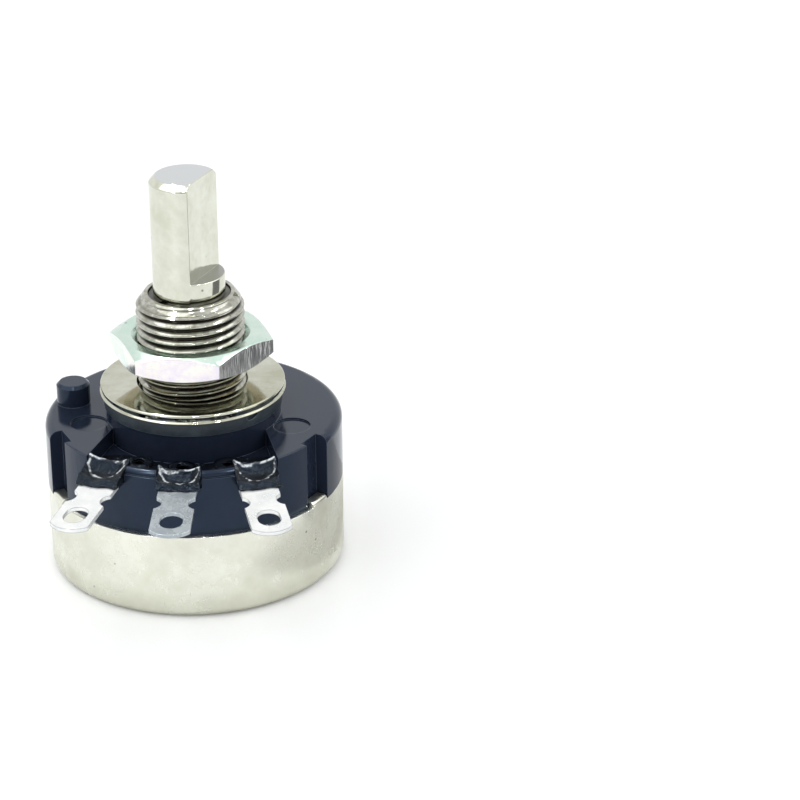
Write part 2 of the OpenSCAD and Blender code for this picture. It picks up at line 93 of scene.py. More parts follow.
def srgb(red: int, green: int, blue: int) -> Colour:
    """Turns a colour as seen on a screen, 0 to 255, into the linear one that shaders take."""
    shares = [value / 255 for value in (red, green, blue)]
    return tuple(s / 12.92 if s <= 0.04045 else ((s + 0.055) / 1.055) ** 2.4 for s in shares)


# Work on meshes


def clear_selection() -> None:
    """Leaves nothing selected."""
    bpy.ops.object.select_all(action="DESELECT")


def take_up(obj: bpy.types.Object) -> None:
    """Makes an object the only selected one and the active one.

    Args:
        obj: The object.
    """
    clear_selection()
    obj.select_set(True)
    bpy.context.view_layer.objects.active = obj


@contextmanager
def editing(obj: bpy.types.Object, kind: str = "EDGE",
            everything: bool = False) -> Iterator[bmesh.types.BMesh]:
    """Opens an object in edit mode.

    Args:
        obj: The mesh object to edit.
        kind: What is selected, "VERT", "EDGE" or "FACE".
        everything: Whether all of it is selected at the start, and not nothing.

    Yields:
        Its mesh, to be read or moved in code.
    """
    take_up(obj)
    bpy.ops.object.mode_set(mode="EDIT")
    bpy.ops.mesh.select_mode(type=kind)
    bpy.ops.mesh.select_all(action="SELECT" if everything else "DESELECT")
    yield bmesh.from_edit_mesh(obj.data)
    bpy.ops.object.mode_set(mode="OBJECT")


def pick(obj: bpy.types.Object, parts: Iterable, test: Callable[[object], bool]) -> None:
    """Selects the vertices, edges or faces that pass a test.

    Args:
        obj: The object in edit mode.
        parts: Its vertices, edges or faces.
        test: Says of one of them whether it is selected.
    """
    for part in [part for part in parts if test(part)]:
        part.select_set(True)
    bmesh.update_edit_mesh(obj.data)


def finish_modifier(obj: bpy.types.Object, kind: str, **settings: object) -> None:
    """Adds a modifier and applies it.

    Args:
        obj: The mesh object.
        kind: The modifier's type.
        settings: The modifier's own settings.
    """
    take_up(obj)
    modifier = obj.modifiers.new(kind.lower(), kind)
    for name, value in settings.items():
        setattr(modifier, name, value)
    bpy.ops.object.modifier_apply(modifier=modifier.name)


def settle(obj: bpy.types.Object) -> None:
    """Puts the object's place, turn and scale into its mesh, so that it sits at the origin."""
    take_up(obj)
    bpy.ops.object.transform_apply(location=True, rotation=True, scale=True)


def primitive(operator: Callable[..., object], name: str, scale: Sequence[float] = (1, 1, 1),
              **settings: object) -> bpy.types.Object:
    """Starts a piece from a primitive.

    Args:
        operator: The operator that adds the primitive.
        name: Name of the new piece.
        scale: Its scale along the primitive's own axes.
        settings: The operator's settings: its size, its place and its turn.

    Returns:
        The new piece, whose place and scale are in its mesh.
    """
    clear_selection()
    operator(**settings)
    obj = bpy.context.object
    obj.name = obj.data.name = name
    obj.scale = scale
    settle(obj)
    return obj


def point_outwards(obj: bpy.types.Object) -> None:
    """Merges doubled points and turns every face outwards.

    Args:
        obj: The closed mesh object.
    """
    with editing(obj, everything=True) as mesh:
        bpy.ops.mesh.remove_doubles(threshold=MERGE_DISTANCE)
        bpy.ops.mesh.normals_make_consistent(inside=False)
        if mesh.calc_volume(signed=True) < 0:
            bpy.ops.mesh.flip_normals()


def smooth(obj: bpy.types.Object, angle: float = 32.0, level: bool = False) -> None:
    """Shades an object smooth.

    Args:
        obj: The mesh object.
        angle: Edges sharper than this, in degrees, stay sharp.
        level: Keeps the shading of large flats level up to their rounded edges.
    """
    take_up(obj)
    bpy.ops.object.shade_smooth_by_angle(angle=math.radians(angle))
    if level:
        finish_modifier(obj, "WEIGHTED_NORMAL", mode="FACE_AREA", weight=100, keep_sharp=True)


def break_edges(obj: bpy.types.Object, width: float, segments: int = 2, angle: float = 40.0,
                inner: bool = True) -> None:
    """Rounds the edges of a piece.

    Args:
        obj: The mesh object.
        width: Width of the rounding.
        segments: Faces across the rounding.
        angle: Edges sharper than this, in degrees, are rounded.
        inner: Whether inner corners are rounded too.
    """
    limit = math.radians(angle)
    with editing(obj) as mesh:
        weights = mesh.edges.layers.float.new("bevel_weight_edge")
        for edge in mesh.edges:
            sharp = len(edge.link_faces) == 2 and edge.calc_face_angle() > limit
            edge[weights] = float(sharp and (inner or edge.is_convex))
    finish_modifier(obj, "BEVEL", width=width, segments=segments, limit_method="WEIGHT",
                    use_clamp_overlap=True, miter_outer="MITER_ARC")


def cut(obj: bpy.types.Object, tool: bpy.types.Object) -> None:
    """Cuts an object with a closed tool, and removes the tool."""
    finish_modifier(obj, "BOOLEAN", object=tool, operation="DIFFERENCE", solver="MANIFOLD")
    bpy.data.objects.remove(tool)


def turned(name: str, outline: Sequence[Point]) -> bpy.types.Object:
    """Turns a closed outline about the shaft axis, corner by corner.

    Args:
        name: Name of the new piece.
        outline: Corners of the section as (radius, height), in order round it.

    Returns:
        A closed ring with its faces outwards.
    """
    radius, height = outline[0]
    obj = primitive(bpy.ops.mesh.primitive_circle_add, name, vertices=ROUND_STEPS, radius=radius,
                    location=(0, 0, height))
    with editing(obj, everything=True):
        for corner in [*outline[1:], outline[0]]:
            grow = corner[0] / radius
            bpy.ops.mesh.extrude_region_move(
                TRANSFORM_OT_translate={"value": (0, 0, corner[1] - height)})
            bpy.ops.transform.resize(value=(grow, grow, 1), center_override=(0, 0, corner[1]))
            radius, height = corner
    point_outwards(obj)
    return obj


def copy_of_node(name: str, node: str) -> bpy.types.Object:
    """Copies a solid's mesh into a new piece, with its points merged and its flats in one face each.

    Args:
        name: Name of the new piece.
        node: The solid that is copied.

    Returns:
        The copy, which rides on nothing yet.
    """
    obj = bpy.data.objects.new(name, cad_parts[node].data.copy())
    obj.data.name = name
    obj.data.materials.clear()
    bpy.context.scene.collection.objects.link(obj)
    take_up(obj)
    bpy.ops.mesh.customdata_custom_splitnormals_clear()
    with editing(obj, everything=True):
        bpy.ops.mesh.remove_doubles(threshold=MERGE_DISTANCE)
        bpy.ops.mesh.dissolve_limited(angle_limit=math.radians(FLAT_ANGLE))
    return obj


def wrinkle(obj: bpy.types.Object, size: float, height: float, seed: int) -> None:
    """Pushes a skin into soft folds.

    Args:
        obj: The piece.
        size: Width of a fold.
        height: How far the folds stand out.
        seed: Tells one piece's folds from the next.
    """
    folds = bpy.data.textures.new(f"folds_{seed}", "MUSGRAVE")
    folds.musgrave_type = "RIDGED_MULTIFRACTAL"
    folds.noise_scale = size
    folds.noise_intensity = 1 - FOLD_EASE * seed
    finish_modifier(obj, "DISPLACE", texture=folds, texture_coords="LOCAL", strength=height,
                    mid_level=FOLD_LEVEL)


def radius_of(point: Vector) -> float:
    """Returns the distance of a point from the shaft axis."""
    return math.hypot(point.x, point.y)


def mount(obj: bpy.types.Object, body: str, node: str | None, finish: bpy.types.Material) -> None:
    """Dresses a new piece and lets it stand for a solid.

    Args:
        obj: The finished piece.
        body: The body that it rides on.
        node: The solid that it stands for, or None where it is added to the solids.
        finish: The material.
    """
    obj.data.materials.clear()
    obj.data.materials.append(finish)
    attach(obj, body)
    if node:
        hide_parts(node)
    log.info("%s: %d faces, stands for %s", obj.name, len(obj.data.polygons), node or "nothing else")


def dress(node: str, finish: bpy.types.Material) -> None:
    """Gives a solid that stays as it is its finish.

    Args:
        node: The solid.
        finish: The material.
    """
    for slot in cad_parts[node].material_slots:
        slot.material = finish
    log.info("%s: dressed in %s", node, finish.name)


# Work on shaders


@dataclass
class NodeBench:
    """Adds and joins the nodes of one material, group or world."""

    tree: bpy.types.NodeTree

    def add(self, kind: str, feeds: dict | None = None, **settings: object) -> bpy.types.Node:
        """Adds a node.

        Args:
            kind: The node's type, without the words ShaderNode.
            feeds: For each input, by name or number, a value or the output that feeds it.
            settings: The node's own settings.

        Returns:
            The new node.
        """
        node = self.tree.nodes.new("ShaderNode" + kind)
        for name, value in settings.items():
            setattr(node, name, value)
        for key, value in (feeds or {}).items():
            self.feed(node.inputs[key], value)
        return node

    def feed(self, socket: bpy.types.NodeSocket, value: object) -> None:
        """Feeds an input.

        Args:
            socket: The input.
            value: The output that is linked to it, or the value that it is set to.
        """
        if isinstance(value, bpy.types.NodeSocket):
            self.tree.links.new(value, socket)
        elif isinstance(value, tuple) and len(value) == 3 and socket.type == "RGBA":
            socket.default_value = (*value, 1)
        else:
            socket.default_value = value

    def coat(self, feeds: dict[str, object]) -> None:
        """Feeds inputs of the material's surface shader, each by its name."""
        for name, value in feeds.items():
            self.feed(self.tree.nodes["Principled BSDF"].inputs[name], value)

    def under(self, name: str) -> bpy.types.NodeSocket:
        """Returns the output that feeds an input of the surface shader so far."""
        return self.tree.nodes["Principled BSDF"].inputs[name].links[0].from_socket

    def work(self, operation: str, first: object, second: object = 0.0) -> bpy.types.NodeSocket:
        """Returns the result of a Math node on two values."""
        return self.add("Math", {0: first, 1: second}, operation=operation).outputs[0]

    def mix(self, share: object, first: object, second: object) -> bpy.types.NodeSocket:
        """Returns a colour that goes from first to second with share."""
        return self.add("Mix", {0: share, 6: first, 7: second}, data_type="RGBA").outputs[2]

    def span(self, value: object, low: float, high: float, start: float = 0.0,
             end: float = 1.0) -> bpy.types.NodeSocket:
        """Returns value moved from the span low to high onto start to end, and held within it."""
        feeds = {"Value": value, "From Min": low, "From Max": high, "To Min": start, "To Max": end}
        return self.add("MapRange", feeds).outputs["Result"]

    def place(self) -> bpy.types.NodeSocket:
        """Returns the point on the piece, in metres."""
        return self.add("TexCoord").outputs["Object"]

    def height(self) -> bpy.types.NodeSocket:
        """Returns the point's height along the shaft axis, in metres."""
        return self.add("SeparateXYZ", {0: self.place()}).outputs[2]

    def radius(self) -> bpy.types.NodeSocket:
        """Measures how far the point is from the shaft axis.

        Returns:
            The distance, in metres.
        """
        axes = self.add("SeparateXYZ", {0: self.place()}).outputs
        across, along = (self.work("POWER", axes[axis], 2.0) for axis in (0, 1))
        return self.work("SQRT", self.work("ADD", across, along))

    def facing(self) -> bpy.types.NodeSocket:
        """Returns the way that the face looks."""
        return self.add("TexCoord").outputs["Normal"]

    def upward(self) -> bpy.types.NodeSocket:
        """Returns how far the face looks up, -1 to 1."""
        return self.add("SeparateXYZ", {0: self.facing()}).outputs[2]

    def alike(self, first: object, second: object) -> bpy.types.NodeSocket:
        """Returns how far two directions agree, -1 to 1."""
        return self.add("VectorMath", {0: first, 1: second}, operation="DOT_PRODUCT").outputs["Value"]

    def noise(self, scale: object, detail: float, rough: float = 0.5,
              point: bpy.types.NodeSocket | None = None) -> bpy.types.NodeSocket:
        """Adds plain noise.

        Args:
            scale: Waves to a metre.
            detail: How many finer layers it has.
            rough: How strong the finer layers are.
            point: Where it is read, at the point on the piece where none is given.

        Returns:
            The noise, 0 to 1.
        """
        feeds = {"Vector": point or self.place(), "Scale": scale, "Detail": detail, "Roughness": rough}
        return self.add("TexNoise", feeds).outputs[0]

    def ragged(self, value: object, scale: float, reach: float, detail: float = 3) -> bpy.types.NodeSocket:
        """Returns value with noise of this reach added, so that what ends at a value ends unevenly."""
        return self.work("ADD", value, self.work("MULTIPLY", self.noise(scale, detail), reach))

    def bump(self, height: object, distance: float, normal: object = None) -> bpy.types.NodeSocket:
        """Raises the surface in the shading.

        Args:
            height: The height, 0 to 1.
            distance: How high 1 is.
            normal: The normal that it starts from, if it isn't the face's own.

        Returns:
            The normal of the raised surface.
        """
        feeds = {"Strength": 1.0, "Distance": distance, "Height": height}
        return self.add("Bump", feeds | ({"Normal": normal} if normal else {})).outputs[0]

    def seen(self) -> bpy.types.NodeSocket:
        """Tells the sight of a thing from the light that it gives.

        Returns:
            1 where it is seen, straight, mirrored or through glass, and 0 where it lights the part.
        """
        rays = self.add("LightPath").outputs
        seen = self.work("MAXIMUM", rays["Is Camera Ray"], rays["Is Glossy Ray"])
        return self.work("MAXIMUM", seen, rays["Is Transmission Ray"])


def new_material(name: str) -> tuple[bpy.types.Material, NodeBench]:
    """Starts a material.

    Args:
        name: Its name.

    Returns:
        The material and the bench of its nodes.
    """
    made = bpy.data.materials.new(name)
    made.use_nodes = True
    return made, NodeBench(made.node_tree)


class Effect(Enum):
    """A shader effect that several finishes use: its name, its inputs, and the kinds of its outputs."""

    SMUDGES = ("smudges", ("Size",), {"Mask": "Float"})
    SPECKS = ("specks", ("Spacing", "Share"), {"Mask": "Float"})
    TURNING = ("turning_marks", ("Size",), {"Height": "Float"})
    DRAWING = ("drawing_marks", ("Size", "Stretch"), {"Height": "Float"})
    SOFT_EDGE = ("soft_edge", ("Radius",), {"Mask": "Float", "Normal": "Vector"})


@dataclass
class EffectShelf:
    """Builds each shared effect once, as a node group, and places it in materials."""

    fine_scale: float = 3.7
    fine_share: float = 0.35
    smudge_span: Point = (0.36, 0.64)
    speck_span: Point = (0.08, 0.2)
    edge_span: Point = (0.995, 0.85)
    edge_samples: int = 6
    groups: dict[Effect, bpy.types.NodeTree] = field(default_factory=dict)

    def place(self, bench: NodeBench, effect: Effect, **values: float) -> Sockets:
        """Places an effect in a material.

        Args:
            bench: The material's nodes.
            effect: Which effect.
            values: The group's inputs, by name.

        Returns:
            The group's outputs, by name.
        """
        if effect not in self.groups:
            self.groups[effect] = self.group(effect)
        return bench.add("Group", values, node_tree=self.groups[effect]).outputs

    def group(self, effect: Effect) -> bpy.types.NodeTree:
        """Builds the node group of an effect.

        Args:
            effect: Which effect.

        Returns:
            The group.
        """
        makers = {Effect.SMUDGES: self.smudges, Effect.SPECKS: self.specks, Effect.TURNING: self.turning,
                  Effect.DRAWING: self.drawing, Effect.SOFT_EDGE: self.soft_edge}
        name, inputs, outputs = effect.value
        tree = bpy.data.node_groups.new(name, "ShaderNodeTree")
        for label in inputs:
            tree.interface.new_socket(label, in_out="INPUT", socket_type="NodeSocketFloat")
        for label, kind in outputs.items():
            tree.interface.new_socket(label, in_out="OUTPUT", socket_type="NodeSocket" + kind)
        given, out = tree.nodes.new("NodeGroupInput"), tree.nodes.new("NodeGroupOutput")
        bench = NodeBench(tree)
        for label, value in makers[effect](bench, given.outputs).items():
            bench.feed(out.inputs[label], value)
        return tree

    def smudges(self, bench: NodeBench, given: Sockets) -> Sockets:
        """Makes soft cloudy patches, as handling leaves on bright metal.

        Args:
            bench: The group's nodes.
            given: Size, the width of a patch in metres.

        Returns:
            Mask, 1 inside a patch.
        """
        scale = bench.work("DIVIDE", 1.0, given["Size"])
        broad = bench.work("MULTIPLY", bench.noise(scale, detail=3, rough=0.55), 1 - self.fine_share)
        fine = bench.noise(bench.work("MULTIPLY", scale, self.fine_scale), detail=5, rough=0.65)
        both = bench.work("ADD", broad, bench.work("MULTIPLY", fine, self.fine_share))
        return {"Mask": bench.span(both, *self.smudge_span)}

    def specks(self, bench: NodeBench, given: Sockets) -> Sockets:
        """Makes small pits and dust.

        Args:
            bench: The group's nodes.
            given: Spacing of the cells in metres, and Share of them that hold a speck.

        Returns:
            Mask, 1 inside a speck.
        """
        scale = bench.work("DIVIDE", 1.0, given["Spacing"])
        cells = bench.add("TexVoronoi", {"Vector": bench.place(), "Scale": scale}).outputs
        draw = bench.add("SeparateColor", {0: cells["Color"]}).outputs[0]
        near = bench.span(cells["Distance"], *self.speck_span, 1, 0)
        return {"Mask": bench.work("MULTIPLY", near, bench.work("LESS_THAN", draw, given["Share"]))}

    def turning(self, bench: NodeBench, given: Sockets) -> Sockets:
        """Makes the fine rings that a lathe leaves about the shaft axis.

        Args:
            bench: The group's nodes.
            given: Size, the width of a ring in metres.

        Returns:
            Height, 0 to 1.
        """
        section = bench.add("CombineXYZ", {0: bench.radius(), 2: bench.height()}).outputs[0]
        scale = bench.work("DIVIDE", 1.0, given["Size"])
        return {"Height": bench.noise(scale, detail=3, rough=0.6, point=section)}

    def drawing(self, bench: NodeBench, given: Sockets) -> Sockets:
        """Makes the long marks along Z that a die or a saw leaves.

        Args:
            bench: The group's nodes.
            given: Size across a mark in metres, and Stretch, its length in widths.

        Returns:
            Height, 0 to 1.
        """
        axes = bench.add("SeparateXYZ", {0: bench.place()}).outputs
        low = bench.work("DIVIDE", axes[2], given["Stretch"])
        point = bench.add("CombineXYZ", {0: axes[0], 1: axes[1], 2: low}).outputs[0]
        return {"Height": bench.noise(bench.work("DIVIDE", 1.0, given["Size"]), detail=2, point=point)}

    def soft_edge(self, bench: NodeBench, given: Sockets) -> Sockets:
        """Rounds edges in the shading.

        Args:
            bench: The group's nodes.
            given: Radius of the rounding in metres.

        Returns:
            Mask, 1 along the edges, and Normal.
        """
        rounded = bench.add("Bevel", {"Radius": given["Radius"]}, samples=self.edge_samples).outputs[0]
        level = bench.alike(rounded, bench.add("NewGeometry").outputs["True Normal"])
        return {"Mask": bench.span(level, *self.edge_span), "Normal": rounded}


SHELF = EffectShelf()


class Marks(Enum):
    """The marks that the making of a piece leaves on it."""

    TURNED = "turned on a lathe"
    DRAWN = "drawn or sawn along Z"


# The finishes


@dataclass(frozen=True)
class MetalFinish:
    """A plated or bare metal surface."""

    name: str
    colour: Colour
    smudge_colour: Colour
    roughness: float = 0.25
    smudge_roughness: float = 0.4
    smudge_size: float = 5 * MM
    marks: Marks = Marks.TURNED
    mark_size: float = 0.12 * MM
    mark_height: float = 0.004 * MM
    stretch: float = 12.0
    speck_spacing: float = 0.7 * MM
    speck_share: float = 0.03
    speck_shade: float = 0.3
    edge_radius: float = 0.05 * MM
    # Colour painted along the edges: a painted highlight where paler than the metal, painted shade where
    # darker
    edge_colour: Colour | None = None

    def material(self) -> bpy.types.Material:
        """Builds the material: plated colour, smudges, pits, tool marks, soft edges, and painted light along
        the edges (a painted highlight where the edge colour is paler than the metal, painted shade where it
        is darker).

        Returns:
            The material.
        """
        made, bench = new_material(self.name)
        smudges = SHELF.place(bench, Effect.SMUDGES, Size=self.smudge_size)["Mask"]
        specks = SHELF.place(bench, Effect.SPECKS, Spacing=self.speck_spacing, Share=self.speck_share)
        edge = SHELF.place(bench, Effect.SOFT_EDGE, Radius=self.edge_radius)
        if self.marks is Marks.TURNED:
            marks = SHELF.place(bench, Effect.TURNING, Size=self.mark_size)
        else:
            marks = SHELF.place(bench, Effect.DRAWING, Size=self.mark_size, Stretch=self.stretch)
        plated = bench.mix(smudges, self.colour, self.smudge_colour)
        plated = bench.mix(specks["Mask"], plated, tuple(part * self.speck_shade for part in self.colour))
        # Painted light along the edges: highlight where the edge colour is paler, shade where it is darker
        if self.edge_colour:
            plated = bench.mix(edge["Mask"], plated, self.edge_colour)
        bench.coat({
            "Base Color": plated, "Metallic": 1.0,
            "Roughness": bench.span(smudges, 0, 1, self.roughness, self.smudge_roughness),
            "Normal": bench.bump(marks["Height"], self.mark_height, edge["Normal"])})
        return made


@dataclass(frozen=True)
class MouldedFinish:
    """A moulded plastic, rubber or laminate surface."""

    name: str
    colour: Colour
    haze: Colour
    roughness: float = 0.2
    haze_roughness: float = 0.35
    haze_size: float = 6 * MM
    grain: float = 0.25 * MM
    grain_height: float = 0.004 * MM
    # Paler colour painted along the edges: a painted highlight
    edge_colour: Colour = srgb(104, 116, 130)
    edge_radius: float = 0.08 * MM
    edge_wear: float = 0.5
    tint: Colour = (1.0, 1.0, 1.0)
    gloss: float = 0.5

    def material(self) -> bpy.types.Material:
        """Builds the material: body colour, haze, fine grain, and a painted highlight along the edges.

        Returns:
            The material.
        """
        made, bench = new_material(self.name)
        haze = SHELF.place(bench, Effect.SMUDGES, Size=self.haze_size)["Mask"]
        edge = SHELF.place(bench, Effect.SOFT_EDGE, Radius=self.edge_radius)
        # Painted highlight along the edges
        edge_highlight = bench.work("MULTIPLY", edge["Mask"], self.edge_wear)
        bench.coat({
            "Base Color": bench.mix(edge_highlight, bench.mix(haze, self.colour, self.haze), self.edge_colour),
            "Roughness": bench.span(haze, 0, 1, self.roughness, self.haze_roughness),
            "Normal": bench.bump(bench.noise(1 / self.grain, detail=3), self.grain_height, edge["Normal"]),
            "Specular Tint": self.tint, "Specular IOR Level": self.gloss})
        return made


@dataclass(frozen=True)
class VarnishFinish:
    """Black sealing varnish: thick, wet-looking and wrinkled, with painted highlights along its rims."""

    name: str = "black_varnish"
    colour: Colour = (0.003, 0.004, 0.006)
    haze: Colour = (0.007, 0.009, 0.014)
    haze_size: float = 1.5 * MM
    roughness: Point = (0.05, 0.16)
    wrinkle: float = 0.9 * MM
    wrinkle_height: float = 0.05 * MM
    wrinkle_span: float = 0.2
    gloss: float = 0.22
    rim: str = "rim"
    # Pale colour painted on the rims: painted highlights
    rim_colour: Colour = srgb(226, 232, 236)
    rim_span: Point = (0.35, 0.75)
    break_scale: float = 2600.0
    break_span: Point = (0.44, 0.56)
    break_share: float = 0.1

    def material(self) -> bpy.types.Material:
        """Builds the material: black body under a clear wet skin, with broken painted highlight lines on its
        rims.

        Returns:
            The material.
        """
        made, bench = new_material(self.name)
        haze = SHELF.place(bench, Effect.SMUDGES, Size=self.haze_size)["Mask"]
        rim = bench.add("Attribute", attribute_name=self.rim).outputs["Fac"]
        breaks = bench.noise(self.break_scale, detail=2)
        broken = bench.span(breaks, *self.break_span, self.break_share, 1)
        # Painted highlight: broken pale lines along the rims
        painted_glint = bench.work("MULTIPLY", bench.span(rim, *self.rim_span), broken)
        folds = bench.noise(1 / self.wrinkle, detail=4, rough=0.6)
        ridge = bench.work("ABSOLUTE", bench.work("SUBTRACT", folds, 0.5))
        bench.coat({
            "Base Color": bench.mix(painted_glint, bench.mix(haze, self.colour, self.haze), self.rim_colour),
            "Roughness": bench.span(haze, 0, 1, *self.roughness),
            "Normal": bench.bump(bench.span(ridge, 0, self.wrinkle_span, 1, 0), self.wrinkle_height),
            "Specular Tint": SLATE, "Specular IOR Level": self.gloss})
        return made


@dataclass(frozen=True)
class ThreadFinish(MetalFinish):
    """Plated metal with painted shade in the roots of its thread."""

    # Painted shade in the thread's roots, with the radii over which it fades and how unevenly it ends
    grease: Colour = srgb(44, 41, 36)
    grease_radii: Point = (4.2 * MM, 4.36 * MM)
    grease_scale: float = 900.0
    grease_reach: float = 0.08 * MM
    inner_radius: float = 4.0 * MM
    thread_top: float = 8.9 * MM
    thread_fade: float = 0.3 * MM

    def material(self) -> bpy.types.Material:
        """Builds the metal, then paints shade on it between the roots and the crests of the thread.

        Returns:
            The material.
        """
        made = super().material()
        bench = NodeBench(made.node_tree)
        # Painted shade between the roots and the crests, below the thread's top
        radius = bench.radius()
        uneven = bench.ragged(radius, self.grease_scale, self.grease_reach)
        root = bench.span(uneven, *self.grease_radii, 1, 0)
        outside = bench.work("GREATER_THAN", radius, self.inner_radius)
        below = bench.span(bench.height(), self.thread_top, self.thread_top + self.thread_fade, 1, 0)
        share = bench.work("MULTIPLY", bench.work("MULTIPLY", root, outside), below)
        bench.coat({"Base Color": bench.mix(share, bench.under("Base Color"), self.grease)})
        return made


@dataclass(frozen=True)
class LugFinish(MetalFinish):
    """Tinned brass whose inner end is painted over with the sealing varnish."""

    varnish: Colour = (0.008, 0.009, 0.012)
    varnish_roughness: float = 0.12
    varnish_radius: float = 13.55 * MM
    varnish_fade: float = 0.08 * MM
    ragged_scale: float = 1500.0
    ragged_reach: float = 0.9 * MM
    metal_share: float = 0.4

    def material(self) -> bpy.types.Material:
        """Builds the metal, then lays the varnish over all that is nearer the shaft than its edge.

        Returns:
            The material.
        """
        made = super().material()
        bench = NodeBench(made.node_tree)
        edge = bench.ragged(bench.radius(), self.ragged_scale, self.ragged_reach)
        bare = bench.span(edge, self.varnish_radius, self.varnish_radius + self.varnish_fade)
        rough = {0: bare, 2: self.varnish_roughness, 3: bench.under("Roughness")}
        bench.coat({
            "Base Color": bench.mix(bare, self.varnish, bench.under("Base Color")),
            "Metallic": bench.work("MULTIPLY", bare, self.metal_share),
            "Roughness": bench.add("Mix", rough, data_type="FLOAT").outputs[0]})
        return made


@dataclass(frozen=True)
class SheetFinish(MetalFinish):
    """Plated sheet with painted shade that darkens it towards its foot."""

    foot: float = -14.1 * MM
    clean: float = -10.5 * MM
    # Painted shade, strongest at the foot
    foot_colour: Colour = srgb(178, 177, 162)
    dull_scale: float = 260.0
    dull_reach: float = 2.4 * MM

    def material(self) -> bpy.types.Material:
        """Builds the metal, then paints shade on it from the start height down to the foot.

        Returns:
            The material.
        """
        made = super().material()
        bench = NodeBench(made.node_tree)
        # Share of painted shade, from none at the start height to full at the foot
        uneven = bench.ragged(bench.height(), self.dull_scale, self.dull_reach, detail=4)
        dull = bench.span(uneven, self.foot, self.clean, 1, 0)
        bench.coat({"Base Color": bench.mix(dull, bench.under("Base Color"), self.foot_colour)})
        return made


@dataclass(frozen=True)
class ZincFinish(MetalFinish):
    """Zinc plate with a tinted film, with painted reflection and painted shade by the way each face looks."""

    name: str = "zinc_nut"
    colour: Colour = srgb(199, 222, 210)
    smudge_colour: Colour = srgb(212, 228, 219)
    # Painted shade on the faces that look down
    under_colour: Colour = srgb(182, 172, 150)
    under_span: Point = (-0.9, -0.5)
    cream: Colour = srgb(246, 243, 236)
    cream_size: float = 1.7 * MM
    # Painted reflection: a tint for each side, and a darker tone for the sawn side at the right
    sides: tuple[tuple[float, Colour], ...] = ((265.1, srgb(228, 219, 236)), (205.1, srgb(220, 236, 230)))
    sawn_side: tuple[float, Colour] = (325.1, srgb(196, 198, 196))
    side_span: Point = (0.8, 0.97)
    mark_share: float = 0.12

    def towards(self, bench: NodeBench, angle: float, elsewhere: float = 0.0) -> bpy.types.NodeSocket:
        """Finds the side of the nut that looks one way.

        Args:
            bench: The material's nodes.
            angle: The way, in degrees about the shaft axis.
            elsewhere: The value on the other sides.

        Returns:
            1 on that side.
        """
        way = (math.cos(math.radians(angle)), math.sin(math.radians(angle)), 0.0)
        return bench.span(bench.alike(bench.facing(), way), *self.side_span, elsewhere, 1)

    def material(self) -> bpy.types.Material:
        """Builds the metal, then paints reflection and shade on it by the way each face looks.

        Returns:
            The material, with full saw marks on one side only.
        """
        made = super().material()
        bench = NodeBench(made.node_tree)
        # Painted shade below, then painted reflection on each side
        below = bench.span(bench.upward(), *self.under_span, 1, 0)
        colour = bench.mix(below, bench.under("Base Color"), self.under_colour)
        smear = SHELF.place(bench, Effect.SMUDGES, Size=self.cream_size)["Mask"]
        for angle, side in self.sides:
            colour = bench.mix(self.towards(bench, angle), colour, bench.mix(smear, side, self.cream))
        angle, side = self.sawn_side
        bench.coat({"Base Color": bench.mix(self.towards(bench, angle), colour, side)})
        height = bench.under("Normal").node.inputs["Height"]
        sawn = self.towards(bench, angle, self.mark_share)
        bench.feed(height, bench.work("MULTIPLY", height.links[0].from_socket, sawn))
        return made


@dataclass(frozen=True)
class ShaftFinish(MetalFinish):
    """Plated shaft with painted shade on the faces that look up; its sawn ledge, under the flat, is also
    rougher.
    """

    ledge_top: float = 12.5 * MM
    level_span: Point = (0.85, 0.98)
    # Painted shade on the faces that look up: a little on the tip, more on the ledge under the flat
    tip_colour: Colour = srgb(206, 209, 211)
    ledge_colour: Colour = srgb(158, 159, 155)
    ledge_roughness: float = 0.25

    def material(self) -> bpy.types.Material:
        """Builds the metal, then paints shade on the faces that look up: the tip a little, the ledge more,
        which is also rougher.

        Returns:
            The material.
        """
        made = super().material()
        bench = NodeBench(made.node_tree)
        # Painted shade on the faces that look up
        level = bench.span(bench.upward(), *self.level_span)
        low = bench.work("LESS_THAN", bench.height(), self.ledge_top)
        grey = bench.mix(low, self.tip_colour, self.ledge_colour)
        dull = bench.work("MULTIPLY", bench.work("MULTIPLY", level, low), self.ledge_roughness)
        bench.coat({
            "Base Color": bench.mix(level, bench.under("Base Color"), grey),
            "Roughness": bench.work("ADD", bench.under("Roughness"), dull)})
        return made


# The pieces


